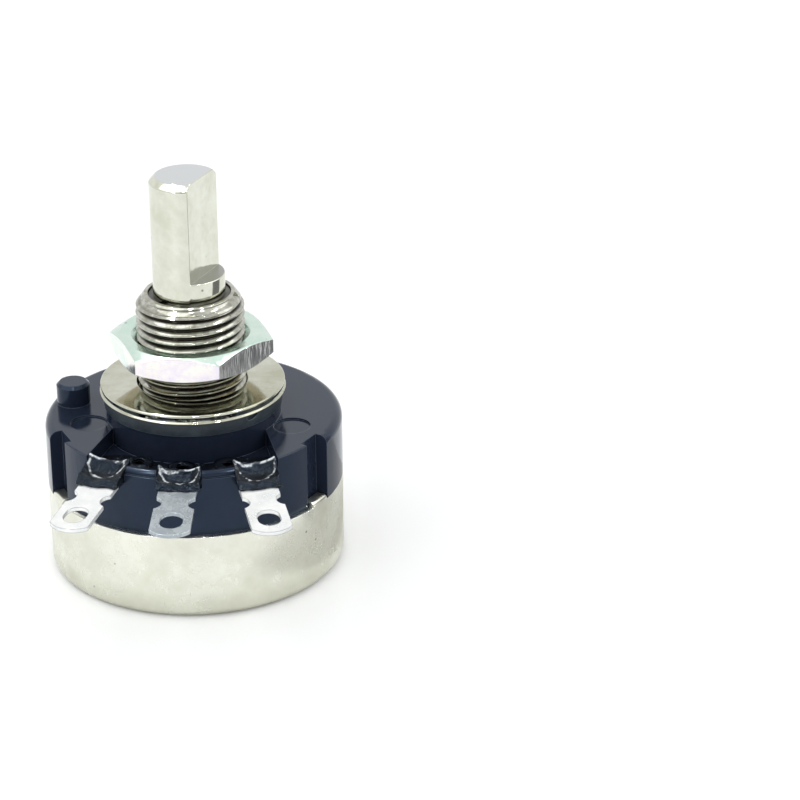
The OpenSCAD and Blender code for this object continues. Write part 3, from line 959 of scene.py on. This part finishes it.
@dataclass
class Case:
    """Moulded housing, metal rear cover with its folded tabs, and sealing gasket."""

    cover_break: float = 0.06 * MM
    number_height: float = 2.1 * MM
    number_radius: float = 9.1 * MM
    number_spread: float = 32.0
    stamp_depth: float = 0.07 * MM
    gasket_break: float = 0.12 * MM
    chip_angle: float = -42.0
    chip_tilt: Point = (0.4, 0.2)
    chip_radius: float = 0.6 * MM
    chip_shape: tuple[float, float, float] = (0.6, 1.5, 0.9)
    chip_unevenness: float = 0.25

    def build(self) -> None:
        """Builds the three pieces and dresses them."""
        # The edge colours of these three finishes are painted highlights along the edges
        phenolic = MouldedFinish("moulded_phenolic", srgb(31, 38, 53), srgb(36, 43, 58), tint=SLATE,
                                 gloss=0.36, roughness=0.08, haze_roughness=0.16)
        rubber = MouldedFinish("gasket_rubber", srgb(30, 40, 48), srgb(50, 62, 70), roughness=0.35,
                               haze_roughness=0.6, haze_size=2 * MM, grain_height=0.02 * MM,
                               edge_colour=srgb(120, 136, 144), edge_radius=0.12 * MM)
        nickel = SheetFinish("nickel_sheet", srgb(232, 234, 221), srgb(218, 218, 202), roughness=0.22,
                             smudge_roughness=0.36, smudge_size=3.5 * MM, marks=Marks.DRAWN,
                             mark_height=0.006 * MM, speck_share=0.06, edge_colour=srgb(250, 250, 246))
        dress("housing", phenolic.material())
        mount(self.cover(), BODY_CASE, "rear_cover", nickel.material())
        mount(self.gasket(), BODY_CASE, "sealing_gasket", rubber.material())

    def cover(self) -> bpy.types.Object:
        """Copies the cover, breaks its edges, and stamps the lugs' numbers in its back.

        Returns:
            The cover.
        """
        obj = copy_of_node("rear_cover_stamped", "rear_cover")
        break_edges(obj, self.cover_break)
        for number in LUG_NUMBERS:
            cut(obj, self.figure(number))
        smooth(obj)
        return obj

    def figure(self, number: int) -> bpy.types.Object:
        """Makes a lug's number as a solid that cuts into the back.

        Args:
            number: The lug's number.

        Returns:
            The solid figure, seen the right way round from behind.
        """
        clear_selection()
        bpy.ops.object.text_add()
        obj = bpy.context.object
        obj.data.body = str(number)
        obj.data.size = self.number_height
        obj.data.align_x = obj.data.align_y = "CENTER"
        obj.data.extrude = self.stamp_depth
        bpy.ops.object.convert(target="MESH")
        angle = math.radians((number - MIDDLE_LUG) * self.number_spread)
        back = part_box("rear_cover")[0].z
        obj.location = (self.number_radius * math.sin(angle), -self.number_radius * math.cos(angle), back)
        obj.rotation_euler = (0, math.pi, 0)
        settle(obj)
        point_outwards(obj)
        return obj

    def gasket(self) -> bpy.types.Object:
        """Turns the gasket with a soft outer edge and tears a small chip out of it.

        Returns:
            The gasket.
        """
        low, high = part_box("sealing_gasket")
        bore = Bushing.crest_radius + Bushing.washer_gap
        obj = turned("gasket_ring", [(bore, low.z), (high.x, low.z), (high.x, high.z), (bore, high.z)])
        cut(obj, self.chip(high))
        break_edges(obj, self.gasket_break, segments=3)
        smooth(obj)
        return obj

    def chip(self, corner: Vector) -> bpy.types.Object:
        """Makes the uneven lump that is missing from the gasket's upper edge.

        Args:
            corner: The highest corner of the gasket's box.

        Returns:
            The closed lump, set on the edge.
        """
        angle = math.radians(self.chip_angle)
        place = (corner.x * math.cos(angle), corner.x * math.sin(angle), corner.z)
        obj = primitive(bpy.ops.mesh.primitive_ico_sphere_add, "gasket_chip", self.chip_shape, subdivisions=2,
                        radius=self.chip_radius, location=place, rotation=(*self.chip_tilt, angle))
        with editing(obj, "VERT", everything=True):
            bpy.ops.transform.vertex_random(offset=self.chip_unevenness * self.chip_radius, seed=3)
        return obj


@dataclass
class Bushing:
    """Threaded bushing with its washer and nut.

    The thread's flare gives each step of the groove's mouth: how far it lies outside the crests, and
    its width as a share of the gap between them. The washer's foot and top give the corners of its
    rim in lips: how far in from the rim, and how far up from the foot or down from the top.
    """

    pitch: float = 0.75 * MM
    thread_depth: float = 0.38 * MM
    crest: float = 0.24 * MM
    root: float = 0.1 * MM
    flare: tuple[Point, ...] = ((-0.08 * MM, 1.0), (-0.02 * MM, 1.25), (0.1 * MM, 1.4))
    first_turn: float = 0.64 * MM
    run_out: float = 8.5 * MM
    run_out_slope: float = 0.42
    root_margin: float = 0.05 * MM
    cone: float = 1.0 * MM
    cone_foot: float = 0.45 * MM
    mouth: float = 3.75 * MM
    mouth_break: float = 0.08 * MM
    mouth_bore: float = 3.45 * MM
    mouth_depth: float = 0.7 * MM
    neck: float = 4.2 * MM
    bore: float = 3.05 * MM
    seat: float = 4.95 * MM
    seat_height: float = 0.6 * MM
    crest_radius: float = 4.5 * MM
    washer_gap: float = 0.08 * MM
    washer_lip: float = 0.1 * MM
    washer_foot: tuple[Point, ...] = ((0.6, 0), (0, 0.6), (0, 1.2), (1.7, 2))
    washer_top: tuple[Point, ...] = ((0.6, 1.6), (0.9, 0.6), (2, 0))
    washer_break: float = 0.025 * MM
    nut_break: float = 0.06 * MM

    def build(self) -> None:
        """Builds the bushing, the washer and the nut, and dresses them."""
        plated = ThreadFinish("plated_bushing", srgb(196, 197, 188), srgb(150, 149, 136), roughness=0.06,
                              smudge_roughness=0.16, smudge_size=0.9 * MM, speck_share=0.12)
        bright = MetalFinish("plated_washer", srgb(204, 206, 194), srgb(178, 178, 158), roughness=0.05,
                             smudge_roughness=0.12, smudge_size=4 * MM, mark_size=0.5 * MM)
        # The nut's edge colour is a painted highlight along its edges
        zinc = ZincFinish(roughness=0.12, smudge_roughness=0.26, smudge_size=2.2 * MM, marks=Marks.DRAWN,
                          mark_size=0.28 * MM, mark_height=0.08 * MM, edge_radius=0.08 * MM,
                          edge_colour=srgb(246, 252, 248))
        mount(self.threaded(), BODY_CASE, "bushing", plated.material())
        mount(self.washer(), BODY_CASE, "flat_washer", bright.material())
        mount(self.nut(), BODY_NUT, "mounting_nut", zinc.material())

    def threaded(self) -> bpy.types.Object:
        """Turns the bushing and cuts its thread with a helix.

        Returns:
            The threaded bushing.
        """
        low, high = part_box("bushing")
        seat_top = low.z + self.seat_height
        shoulder = high.z - self.cone
        rim = (self.mouth + self.mouth_break, high.z - self.mouth_break)
        ledge = high.z - self.mouth_depth
        obj = turned("bushing_threaded", [
            (self.bore, low.z), (high.x, low.z), (high.x, seat_top), (self.seat, seat_top),
            (self.seat, 0), (self.crest_radius, 0), (self.crest_radius, shoulder),
            (self.neck, shoulder + self.cone_foot), rim, (self.mouth, high.z), (self.mouth_bore, high.z),
            (self.mouth_bore, ledge), (self.bore, ledge)])
        cut(obj, self.groove(high.z))
        smooth(obj, angle=45, level=True)
        return obj

    def groove(self, end: float) -> bpy.types.Object:
        """Makes the solid helix that cuts the thread and runs out on the cone.

        Its section opens from the root to the crest and flares there, which rounds the crest.

        Args:
            end: Height of the bushing's end, which the last turn stays under.

        Returns:
            The closed helix.
        """
        deep = self.crest_radius - self.thread_depth
        gap = (self.pitch - self.crest) / 2
        flare = [(self.crest_radius + out, share * gap) for out, share in self.flare]
        radius, width = flare[0]
        middle = ((deep + radius) / 2, 0, self.first_turn)
        obj = primitive(bpy.ops.mesh.primitive_plane_add, "thread_groove", (radius - deep, self.root, 1),
                        size=1, location=middle, rotation=(math.pi / 2, 0, 0))
        with editing(obj) as mesh:
            pick(obj, mesh.edges, lambda edge: all(vertex.co.x > middle[0] for vertex in edge.verts))
            bpy.ops.transform.resize(value=(1, 1, 2 * width / self.root), center_override=middle)
            for further, wider in flare[1:]:
                bpy.ops.mesh.extrude_region_move(TRANSFORM_OT_translate={"value": (further - radius, 0, 0)})
                bpy.ops.transform.resize(value=(1, 1, wider / width), center_override=middle)
                radius, width = further, wider
            bpy.ops.mesh.select_all(action="SELECT")
            bpy.ops.mesh.dissolve_faces()
            bpy.ops.mesh.select_all(action="SELECT")
            bpy.ops.mesh.delete(type="ONLY_FACE")
        finish_modifier(obj, "SCREW", axis="Z", angle=2 * math.pi, screw_offset=self.pitch,
                        iterations=int((end - self.first_turn) / self.pitch), steps=ROUND_STEPS,
                        render_steps=ROUND_STEPS, use_merge_vertices=False)
        with editing(obj, everything=True) as mesh:
            bpy.ops.mesh.fill_holes(sides=0)
            inner = self.crest_radius - self.root_margin
            for vertex in [vertex for vertex in mesh.verts if radius_of(vertex.co) < inner]:
                shift = self.run_out_slope * max(0.0, vertex.co.z - self.run_out)
                vertex.co.xy *= 1 - shift / radius_of(vertex.co)
        point_outwards(obj)
        return obj

    def washer(self) -> bpy.types.Object:
        """Turns the washer as it is punched: a rounded top edge, a bright band and a lip at the foot.

        Returns:
            The washer.
        """
        low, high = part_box("flat_washer")
        bore = self.crest_radius + self.washer_gap
        lip = self.washer_lip
        foot = [(high.x - inward * lip, low.z + up * lip) for inward, up in self.washer_foot]
        top = [(high.x - inward * lip, high.z - down * lip) for inward, down in self.washer_top]
        obj = turned("washer_ring", [(bore, low.z), *foot, *top, (bore + lip, high.z), (bore, high.z - lip)])
        break_edges(obj, self.washer_break, angle=20)
        smooth(obj, angle=50, level=True)
        return obj

    def nut(self) -> bpy.types.Object:
        """Copies the nut, whose corners are already turned off, and breaks its edges.

        Returns:
            The nut.
        """
        obj = copy_of_node("nut_hexagon", "mounting_nut")
        break_edges(obj, self.nut_break, angle=20)
        smooth(obj, angle=30, level=True)
        return obj


@dataclass
class VarnishDrop:
    """Drop of varnish that clings to its slot: a dished block with raised, drawn-out rims.

    Places on its skin are given as across, -1 to 1 over the slot, and along, 0 at the nose to 1 at
    the back. Its heights are shares of its full height. The noise that its rims waver with has a
    seed of its own, so that they are the same each time.
    """

    number: int
    width: float = 3.5 * MM
    height: float = 0.95 * MM
    back: float = 1.1 * MM
    front: float = 1.15 * MM
    outer_reach: float = 1.1 * MM
    slot_shift: float = 0.25 * MM
    cuts: int = 19
    top: float = 0.9
    fold: float = 0.9 * MM
    fold_height: float = 0.16 * MM
    nose: float = 0.3
    nose_taper: float = 0.25
    rim_height: float = 0.62
    rim_rise: float = 0.3
    corner_rise: float = 0.5
    dish_start: float = 0.22
    dish_length: float = 0.72
    dish_depth: float = 0.62
    dish_power: float = 0.7
    thinnest: float = 0.06
    waver_rate: Point = (1.7, 2.2)
    waver_step: float = 5.0
    waver_seed: int = 1796024021
    waver_reach: tuple[float, float, float] = (0.16, 0.13, 0.16)
    line_width: float = 0.045
    back_line: float = 0.93
    back_reach: float = 0.95
    arc_line: float = 0.28
    arc_bend: float = 0.5
    arc_power: float = 1.5
    arc_reach: float = 0.97
    side_line: float = 0.88
    side_width: float = 0.06
    side_start: float = 0.66

    def build(self, place: Matrix) -> bpy.types.Object:
        """Models the drop.

        Args:
            place: The frame of its lug.

        Returns:
            The drop in its slot, with a measure of its rims that the varnish reads to paint its highlights.
        """
        side = self.number - MIDDLE_LUG
        front = self.front + abs(side) * self.outer_reach
        length = front + self.back
        middle = side * self.slot_shift / 2
        noise.seed_set(self.waver_seed)
        obj = primitive(bpy.ops.mesh.primitive_cube_add, f"varnish_drop_{self.number}",
                        (self.width, length, self.height), size=1,
                        location=(middle, self.back - length / 2, self.height / 2))
        with editing(obj, "VERT", everything=True) as mesh:
            bpy.ops.mesh.subdivide(number_cuts=self.cuts)
            rims = mesh.verts.layers.float.new(VarnishFinish.rim)
            for vertex in mesh.verts:
                across = 2 * (vertex.co.x - middle) / self.width
                along = (vertex.co.y + front) / length
                vertex[rims] = self.rim(across, along) if vertex.co.z > self.top * self.height else 0
                vertex.co.z *= self.skin(across, along)
        wrinkle(obj, self.fold, self.fold_height, self.number)
        finish_modifier(obj, "SUBSURF", levels=1, render_levels=1)
        obj.matrix_world = place
        settle(obj)
        smooth(obj, angle=180)
        return obj

    def skin(self, across: float, along: float) -> float:
        """Gives the height of the skin.

        Args:
            across: Place across the slot.
            along: Place along the lug.

        Returns:
            The height: a steep nose, a rim that rises to a point in each back corner, and a dish in it.
        """
        corner = abs(across) ** 3
        nose = min(1.0, along / self.nose) * (1 - self.nose_taper * corner * (1 - along))
        rim = self.rim_height + self.rim_rise * along + self.corner_rise * corner * along ** 2
        inside = min(max(along - self.dish_start, 0.0), self.dish_length) / self.dish_length
        dish = self.dish_depth * (1 - corner) * max(0.0, math.sin(math.pi * inside)) ** self.dish_power
        return max(self.thinnest, nose * rim - dish)

    def rim(self, across: float, along: float) -> float:
        """Says how near a place of the skin is to the rim of the dish, where the varnish paints its
        highlights.

        Args:
            across: Place across the slot.
            along: Place along the lug.

        Returns:
            The nearness, 0 to 1. The rim runs along the back, down both sides and in an arc over the
            nose, unevenly and otherwise on each drop.
        """
        waver = noise.noise_vector(Vector((
            self.waver_rate[0] * across, self.waver_rate[1] * along, self.waver_step * self.number)))
        across += self.waver_reach[0] * waver.x
        along += self.waver_reach[1] * waver.y
        arc = self.arc_line + self.waver_reach[2] * waver.z + self.arc_bend * abs(across) ** self.arc_power
        lines = [((along - self.back_line) / self.line_width, abs(across) < self.back_reach),
                 ((along - arc) / self.line_width, abs(across) < self.arc_reach),
                 ((abs(across) - self.side_line) / self.side_width, along > self.side_start)]
        return max(math.exp(-distance ** 2) if there else 0.0 for distance, there in lines)


@dataclass
class VarnishFilm:
    """Film of varnish that covers the bay's floor, the rivets and the lugs' roots."""

    floor: float
    front_radius: float
    boss_radius: float = 7.45 * MM
    skin: float = 0.1 * MM
    thickness: float = 0.05 * MM
    bay: tuple[float, float, float, float] = (-7.2 * MM, 7.2 * MM, -11.6 * MM, -6 * MM)
    steps: tuple[int, int] = (120, 48)
    start_height: float = 2 * MM
    height: float = 0.8 * MM
    climb: float = -4.4 * MM
    climb_height: float = 1.25 * MM
    fold: float = 1.4 * MM
    fold_height: float = 0.14 * MM
    fold_seed: int = 4

    def build(self) -> bpy.types.Object:
        """Lays the film on the pieces in the bay.

        Returns:
            The film.
        """
        bed = self.bed()
        left, right, near, far = self.bay
        obj = primitive(bpy.ops.mesh.primitive_grid_add, "varnish_film", (right - left, far - near, 1),
                        size=1, x_subdivisions=self.steps[0], y_subdivisions=self.steps[1],
                        location=((left + right) / 2, (near + far) / 2, self.floor + self.start_height))
        finish_modifier(obj, "SHRINKWRAP", target=bed, wrap_method="PROJECT", use_project_z=True,
                        use_negative_direction=True, use_positive_direction=False, offset=self.skin)
        bpy.data.objects.remove(bed)
        with editing(obj, "VERT") as mesh:
            pick(obj, mesh.verts, lambda vertex: not self.covers(vertex.co))
            bpy.ops.mesh.delete(type="VERT")
            bpy.ops.mesh.select_all(action="SELECT")
            bpy.ops.mesh.delete_loose(use_verts=True, use_edges=True)
            for vertex in mesh.verts:
                vertex.co.z = max(vertex.co.z, self.floor + self.skin)
        finish_modifier(obj, "SMOOTH", factor=0.5, iterations=12)
        wrinkle(obj, self.fold, self.fold_height, self.fold_seed)
        finish_modifier(obj, "SOLIDIFY", thickness=self.thickness, offset=-1)
        smooth(obj, angle=180)
        return obj

    def bed(self) -> bpy.types.Object:
        """Joins copies of the pieces that the film lies on.

        Returns:
            The bed.
        """
        nodes = ["housing", *(f"{kind}_{number}" for kind in ("terminal", "rivet") for number in LUG_NUMBERS)]
        pieces = [copy_of_node(f"bed_{node}", node) for node in nodes]
        clear_selection()
        for piece in pieces:
            piece.select_set(True)
        bpy.context.view_layer.objects.active = pieces[0]
        bpy.ops.object.join()
        return pieces[0]

    def covers(self, point: Vector) -> bool:
        """Says whether the film covers a point: the floor, and the side wall in the left corner."""
        lid = self.floor + (self.climb_height if point.x < self.climb else self.height)
        return point.z < lid and self.boss_radius < radius_of(point) < self.front_radius


@dataclass
class Lugs:
    """Three solder lugs, their rivets, and the varnish that seals them in."""

    front_radius: float = 11.95 * MM
    spread: float = 30.0
    fan: float = 15.0
    floor: float = -2.5 * MM
    blade_thickness: float = 0.35 * MM
    blade_break: float = 0.04 * MM

    def build(self) -> None:
        """Builds and dresses the lugs, rivets and varnish, numbered as the real ones."""
        # Lit and shaded copies of one tinned finish: the outer lugs lighter, with painted shade along their
        # edges
        outer = LugFinish("tinned_lug", srgb(248, 249, 247), srgb(226, 229, 230), roughness=0.14,
                          smudge_roughness=0.3, smudge_size=2 * MM, edge_radius=0.08 * MM,
                          edge_colour=srgb(136, 140, 146)).material()
        # The middle lug's copy is painted darker, with a painted highlight along its edges
        middle = LugFinish("tinned_lug_shaded", srgb(160, 170, 178), srgb(182, 190, 196), roughness=0.2,
                           smudge_roughness=0.34, smudge_size=1.2 * MM, metal_share=0.5,
                           edge_colour=srgb(244, 245, 244), varnish_radius=12.5 * MM).material()
        varnish = VarnishFinish().material()
        riveted = MetalFinish("varnished_rivet", (0.03, 0.032, 0.036), (0.012, 0.013, 0.015),
                              roughness=0.15).material()
        for number in LUG_NUMBERS:
            tinned = middle if number == MIDDLE_LUG else outer
            mount(self.blade(number), BODY_CASE, f"terminal_{number}", tinned)
            drop = VarnishDrop(number).build(self.lug_place(number - MIDDLE_LUG))
            mount(drop, BODY_CASE, f"sealant_{number}", varnish)
            dress(f"rivet_{number}", riveted)
        film = VarnishFilm(self.floor, self.front_radius).build()
        mount(film, BODY_CASE, None, varnish)

    def blade(self, number: int) -> bpy.types.Object:
        """Copies a lug and breaks its stamped edges.

        Args:
            number: The lug's number.

        Returns:
            The lug.
        """
        obj = copy_of_node(f"lug_{number}", f"terminal_{number}")
        break_edges(obj, self.blade_break)
        smooth(obj, level=True)
        return obj

    def lug_place(self, side: int) -> Matrix:
        """Gives the frame of a lug.

        Args:
            side: -1, 0 or 1 towards +X.

        Returns:
            The frame: its origin on the case's front, +Y towards the shaft.
        """
        about = Matrix.Rotation(math.radians(side * self.spread), 4, "Z")
        lean = Matrix.Rotation(math.radians(side * (self.fan - self.spread)), 4, "Z")
        return about @ Matrix.Translation((0, -self.front_radius, self.floor + self.blade_thickness)) @ lean


@dataclass
class Shaft:
    """D-shaft and the open ring that holds it in the bushing's mouth."""

    edge_break: float = 0.12 * MM

    def build(self) -> None:
        """Builds the shaft and dresses it, its ring and its stop plate."""
        plated = ShaftFinish("plated_shaft", srgb(221, 223, 210), srgb(205, 206, 189), roughness=0.06,
                             smudge_roughness=0.15, smudge_size=1.8 * MM, speck_share=0.04,
                             mark_size=0.5 * MM, mark_height=0.012 * MM)
        spring = MetalFinish("dark_spring_steel", srgb(110, 110, 106), srgb(70, 70, 66), roughness=0.25)
        obj = copy_of_node("shaft_turned", "shaft")
        break_edges(obj, self.edge_break, segments=3, angle=25, inner=False)
        smooth(obj, angle=35, level=True)
        mount(obj, BODY_SHAFT, "shaft", plated.material())
        dress("retaining_ring", spring.material())
        dress("stop_plate", spring.material())


@dataclass
class Mechanism:
    """Element, rotor and wiper inside the case."""

    def build(self) -> None:
        """Dresses the inner pieces."""
        bronze = MetalFinish("phosphor_bronze", srgb(214, 178, 118), srgb(196, 158, 100)).material()
        silver = MetalFinish("silver_plate", srgb(226, 222, 206), srgb(206, 200, 182)).material()
        carbon = MouldedFinish("carbon_film", srgb(30, 30, 30), srgb(40, 40, 40), roughness=0.5,
                               haze_roughness=0.7).material()
        # The edge colours of the laminate and the moulding are painted highlights along the edges
        board = MouldedFinish("paper_laminate", srgb(150, 104, 62), srgb(132, 88, 50), roughness=0.4,
                              haze_roughness=0.5, edge_colour=srgb(180, 140, 96)).material()
        brown = MouldedFinish("brown_moulding", srgb(70, 48, 34), srgb(58, 40, 30), roughness=0.35,
                              edge_colour=srgb(96, 70, 52)).material()
        finishes = {
            "thrust_washer": bronze, "wiper_spring": bronze, "collector_ring": silver,
            "carbon_track": carbon, "track_brush": carbon, "ring_brush": carbon,
            "element_board": board, "rotor": brown}
        for node, finish in finishes.items():
            dress(node, finish)


# The studio


@dataclass(frozen=True)
class PhotoCamera:
    """Camera at the photograph's viewing angle, for a picture of 800 by 800."""

    distance: float = 236 * MM
    elevation: float = 24.54
    azimuth: float = 7.0
    lens: float = 126.2
    sensor: float = 36.0
    roll: float = 2.2
    frame_width: float = 800.0
    origin_at: Point = (193.5, 398.9)
    clip: Point = (0.01, 10.0)

    def build(self) -> None:
        """Adds the camera, turned so that the part's origin lies at its pixel of the photograph."""
        rise, round_ = math.radians(self.elevation), math.radians(self.azimuth)
        back = Vector((math.cos(rise) * math.sin(round_), -math.cos(rise) * math.cos(round_), math.sin(rise)))
        focal = self.lens / self.sensor * self.frame_width
        half = self.frame_width / 2
        ray = Vector((self.origin_at[0] - half, half - self.origin_at[1], -focal)).normalized()
        aim = ray.rotation_difference(Vector((0, 0, -1))).to_matrix()
        level = (-back).to_track_quat("-Z", "Y").to_matrix()
        turn = level @ Matrix.Rotation(math.radians(-self.roll), 3, "Z") @ aim
        data = bpy.data.cameras.new("photo_camera")
        data.lens, data.sensor_width = self.lens, self.sensor
        data.clip_start, data.clip_end = self.clip
        camera = bpy.data.objects.new("photo_camera", data)
        camera.matrix_world = Matrix.Translation(back * self.distance) @ turn.to_4x4()
        bpy.context.scene.collection.objects.link(camera)
        bpy.context.scene.camera = camera


@dataclass(frozen=True)
class Lamp:
    """Square soft lamp that looks at the part, and lights all of it or shows only as a glint."""

    name: str
    place: tuple[float, float, float]
    size: float = 0.04
    power: float = 0.6
    glint: bool = True

    def build(self) -> None:
        """Adds the lamp."""
        data = bpy.data.lights.new(self.name, "AREA")
        data.size, data.energy = self.size, self.power
        lamp = bpy.data.objects.new(self.name, data)
        lamp.location = self.place
        lamp.rotation_euler = (-Vector(self.place)).to_track_quat("-Z", "Y").to_euler()
        lamp.visible_diffuse = not self.glint
        bpy.context.scene.collection.objects.link(lamp)


@dataclass(frozen=True)
class Board:
    """Board that is seen only where the part mirrors it. It stands and faces the part, or lies flat."""

    name: str
    place: Vector
    size: Point
    colour: Colour
    flat: bool = False
    roughness: float = 0.9

    def build(self) -> None:
        """Adds the board."""
        away = Vector((self.place.x, self.place.y, 0))
        turn = (0, 0, 0) if self.flat else away.to_track_quat("Z", "Y").to_euler()
        board = primitive(bpy.ops.mesh.primitive_plane_add, self.name, (*self.size, 1), size=1,
                          location=self.place, rotation=turn)
        board.visible_camera = board.visible_diffuse = board.visible_shadow = False
        made, bench = new_material(self.name)
        bench.coat({"Base Color": self.colour, "Roughness": self.roughness})
        board.data.materials.append(made)


@dataclass(frozen=True)
class Studio:
    """White table and surroundings, soft light, and the boards that metal mirrors."""

    fill: float = 0.85
    table_half: float = 2.0
    table_colour: Colour = (0.9, 0.91, 0.92)
    table_roughness: float = 0.6
    table_glow: float = 0.07
    lamps: tuple[Lamp, ...] = (
        Lamp("key_light", (-0.25, -0.1, 0.5), size=0.5, power=1.0, glint=False),
        Lamp("side_light", (0.45, 0.1, 0.4), size=0.4, power=0.5, glint=False),
        Lamp("glint_left", (-0.22, -0.3, 0.3)), Lamp("glint_right", (0.2, -0.2, 0.4)),
        Lamp("glint_above", (0.04, -0.26, 0.5)), Lamp("glint_back_left", (-0.16, 0.14, 0.5)),
        Lamp("glint_back_right", (0.2, 0.12, 0.48)))
    room_distance: float = 0.7
    room_size: Point = (0.8, 0.24)
    room_rise: float = 28.0
    room_colour: Colour = (0.1, 0.105, 0.11)
    flag_place: Point = (42 * MM, 6 * MM)
    flag_size: Point = (24 * MM, 26 * MM)
    flag_colour: Colour = (0.2, 0.2, 0.21)
    # A grey sheet on the table, seen only in reflections: a painted shadow of the part
    mat_place: Point = (30 * MM, -2 * MM)
    mat_size: Point = (32 * MM, 38 * MM)
    mat_height: float = 0.02 * MM
    mat_colour: Colour = (0.6, 0.6, 0.59)

    def build(self) -> None:
        """Adds the table, the surroundings, the lamps and the boards."""
        self.table()
        self.surroundings()
        for fitting in (*self.lamps, *self.boards()):
            fitting.build()
        bpy.context.scene.view_settings.view_transform = "Standard"

    def table(self) -> None:
        """Adds the table under the part, white to the camera and with the part's shadow."""
        table = primitive(bpy.ops.mesh.primitive_plane_add, "table", size=2 * self.table_half,
                          location=(0, 0, CAD_BOX[0].z))
        made, bench = new_material("table_white")
        bench.coat({
            "Base Color": self.table_colour, "Roughness": self.table_roughness,
            "Emission Color": (1, 1, 1),
            "Emission Strength": bench.work("MULTIPLY", bench.seen(), self.table_glow)})
        table.data.materials.append(made)

    def boards(self) -> list[Board]:
        """Lists the boards that bright metal mirrors.

        Returns:
            A dark curtain behind the camera, which shows as thin dark lines, a dark flag at the right,
            for the dark side of the nut and the thread, and a grey mat: a painted shadow on the table that
            the cover's right mirrors.
        """
        rise, azimuth = math.radians(self.room_rise), math.radians(PhotoCamera.azimuth)
        away = Vector((math.sin(azimuth), -math.cos(azimuth), 0)) * math.cos(rise)
        room = self.room_distance * (away + Vector((0, 0, math.sin(rise))))
        flag = Vector((*self.flag_place, CAD_BOX[0].z + self.flag_size[1] / 2))
        mat = Vector((*self.mat_place, CAD_BOX[0].z + self.mat_height))
        return [Board("dark_room", room, self.room_size, self.room_colour),
                Board("side_flag", flag, self.flag_size, self.flag_colour),
                Board("painted_shadow_mat", mat, self.mat_size, self.mat_colour, flat=True)]

    def surroundings(self) -> None:
        """Makes the world white where it is seen, and softer as a light."""
        world = bpy.data.worlds.new("studio")
        bpy.context.scene.world = world
        world.use_nodes = True
        bench = NodeBench(world.node_tree)
        background = world.node_tree.nodes["Background"]
        bench.feed(background.inputs["Color"], (1, 1, 1))
        bench.feed(background.inputs["Strength"], bench.span(bench.seen(), 0, 1, self.fill, 1.0))


def main() -> None:
    """Builds the studio and every sub-assembly, in order."""
    logging.basicConfig(level=logging.INFO, format="%(name)s: %(message)s")
    PhotoCamera().build()
    Studio().build()
    for assembly in (Case(), Bushing(), Lugs(), Shaft(), Mechanism()):
        log.info("building %s", type(assembly).__name__)
        assembly.build()


if __name__ == "__main__":
    main()
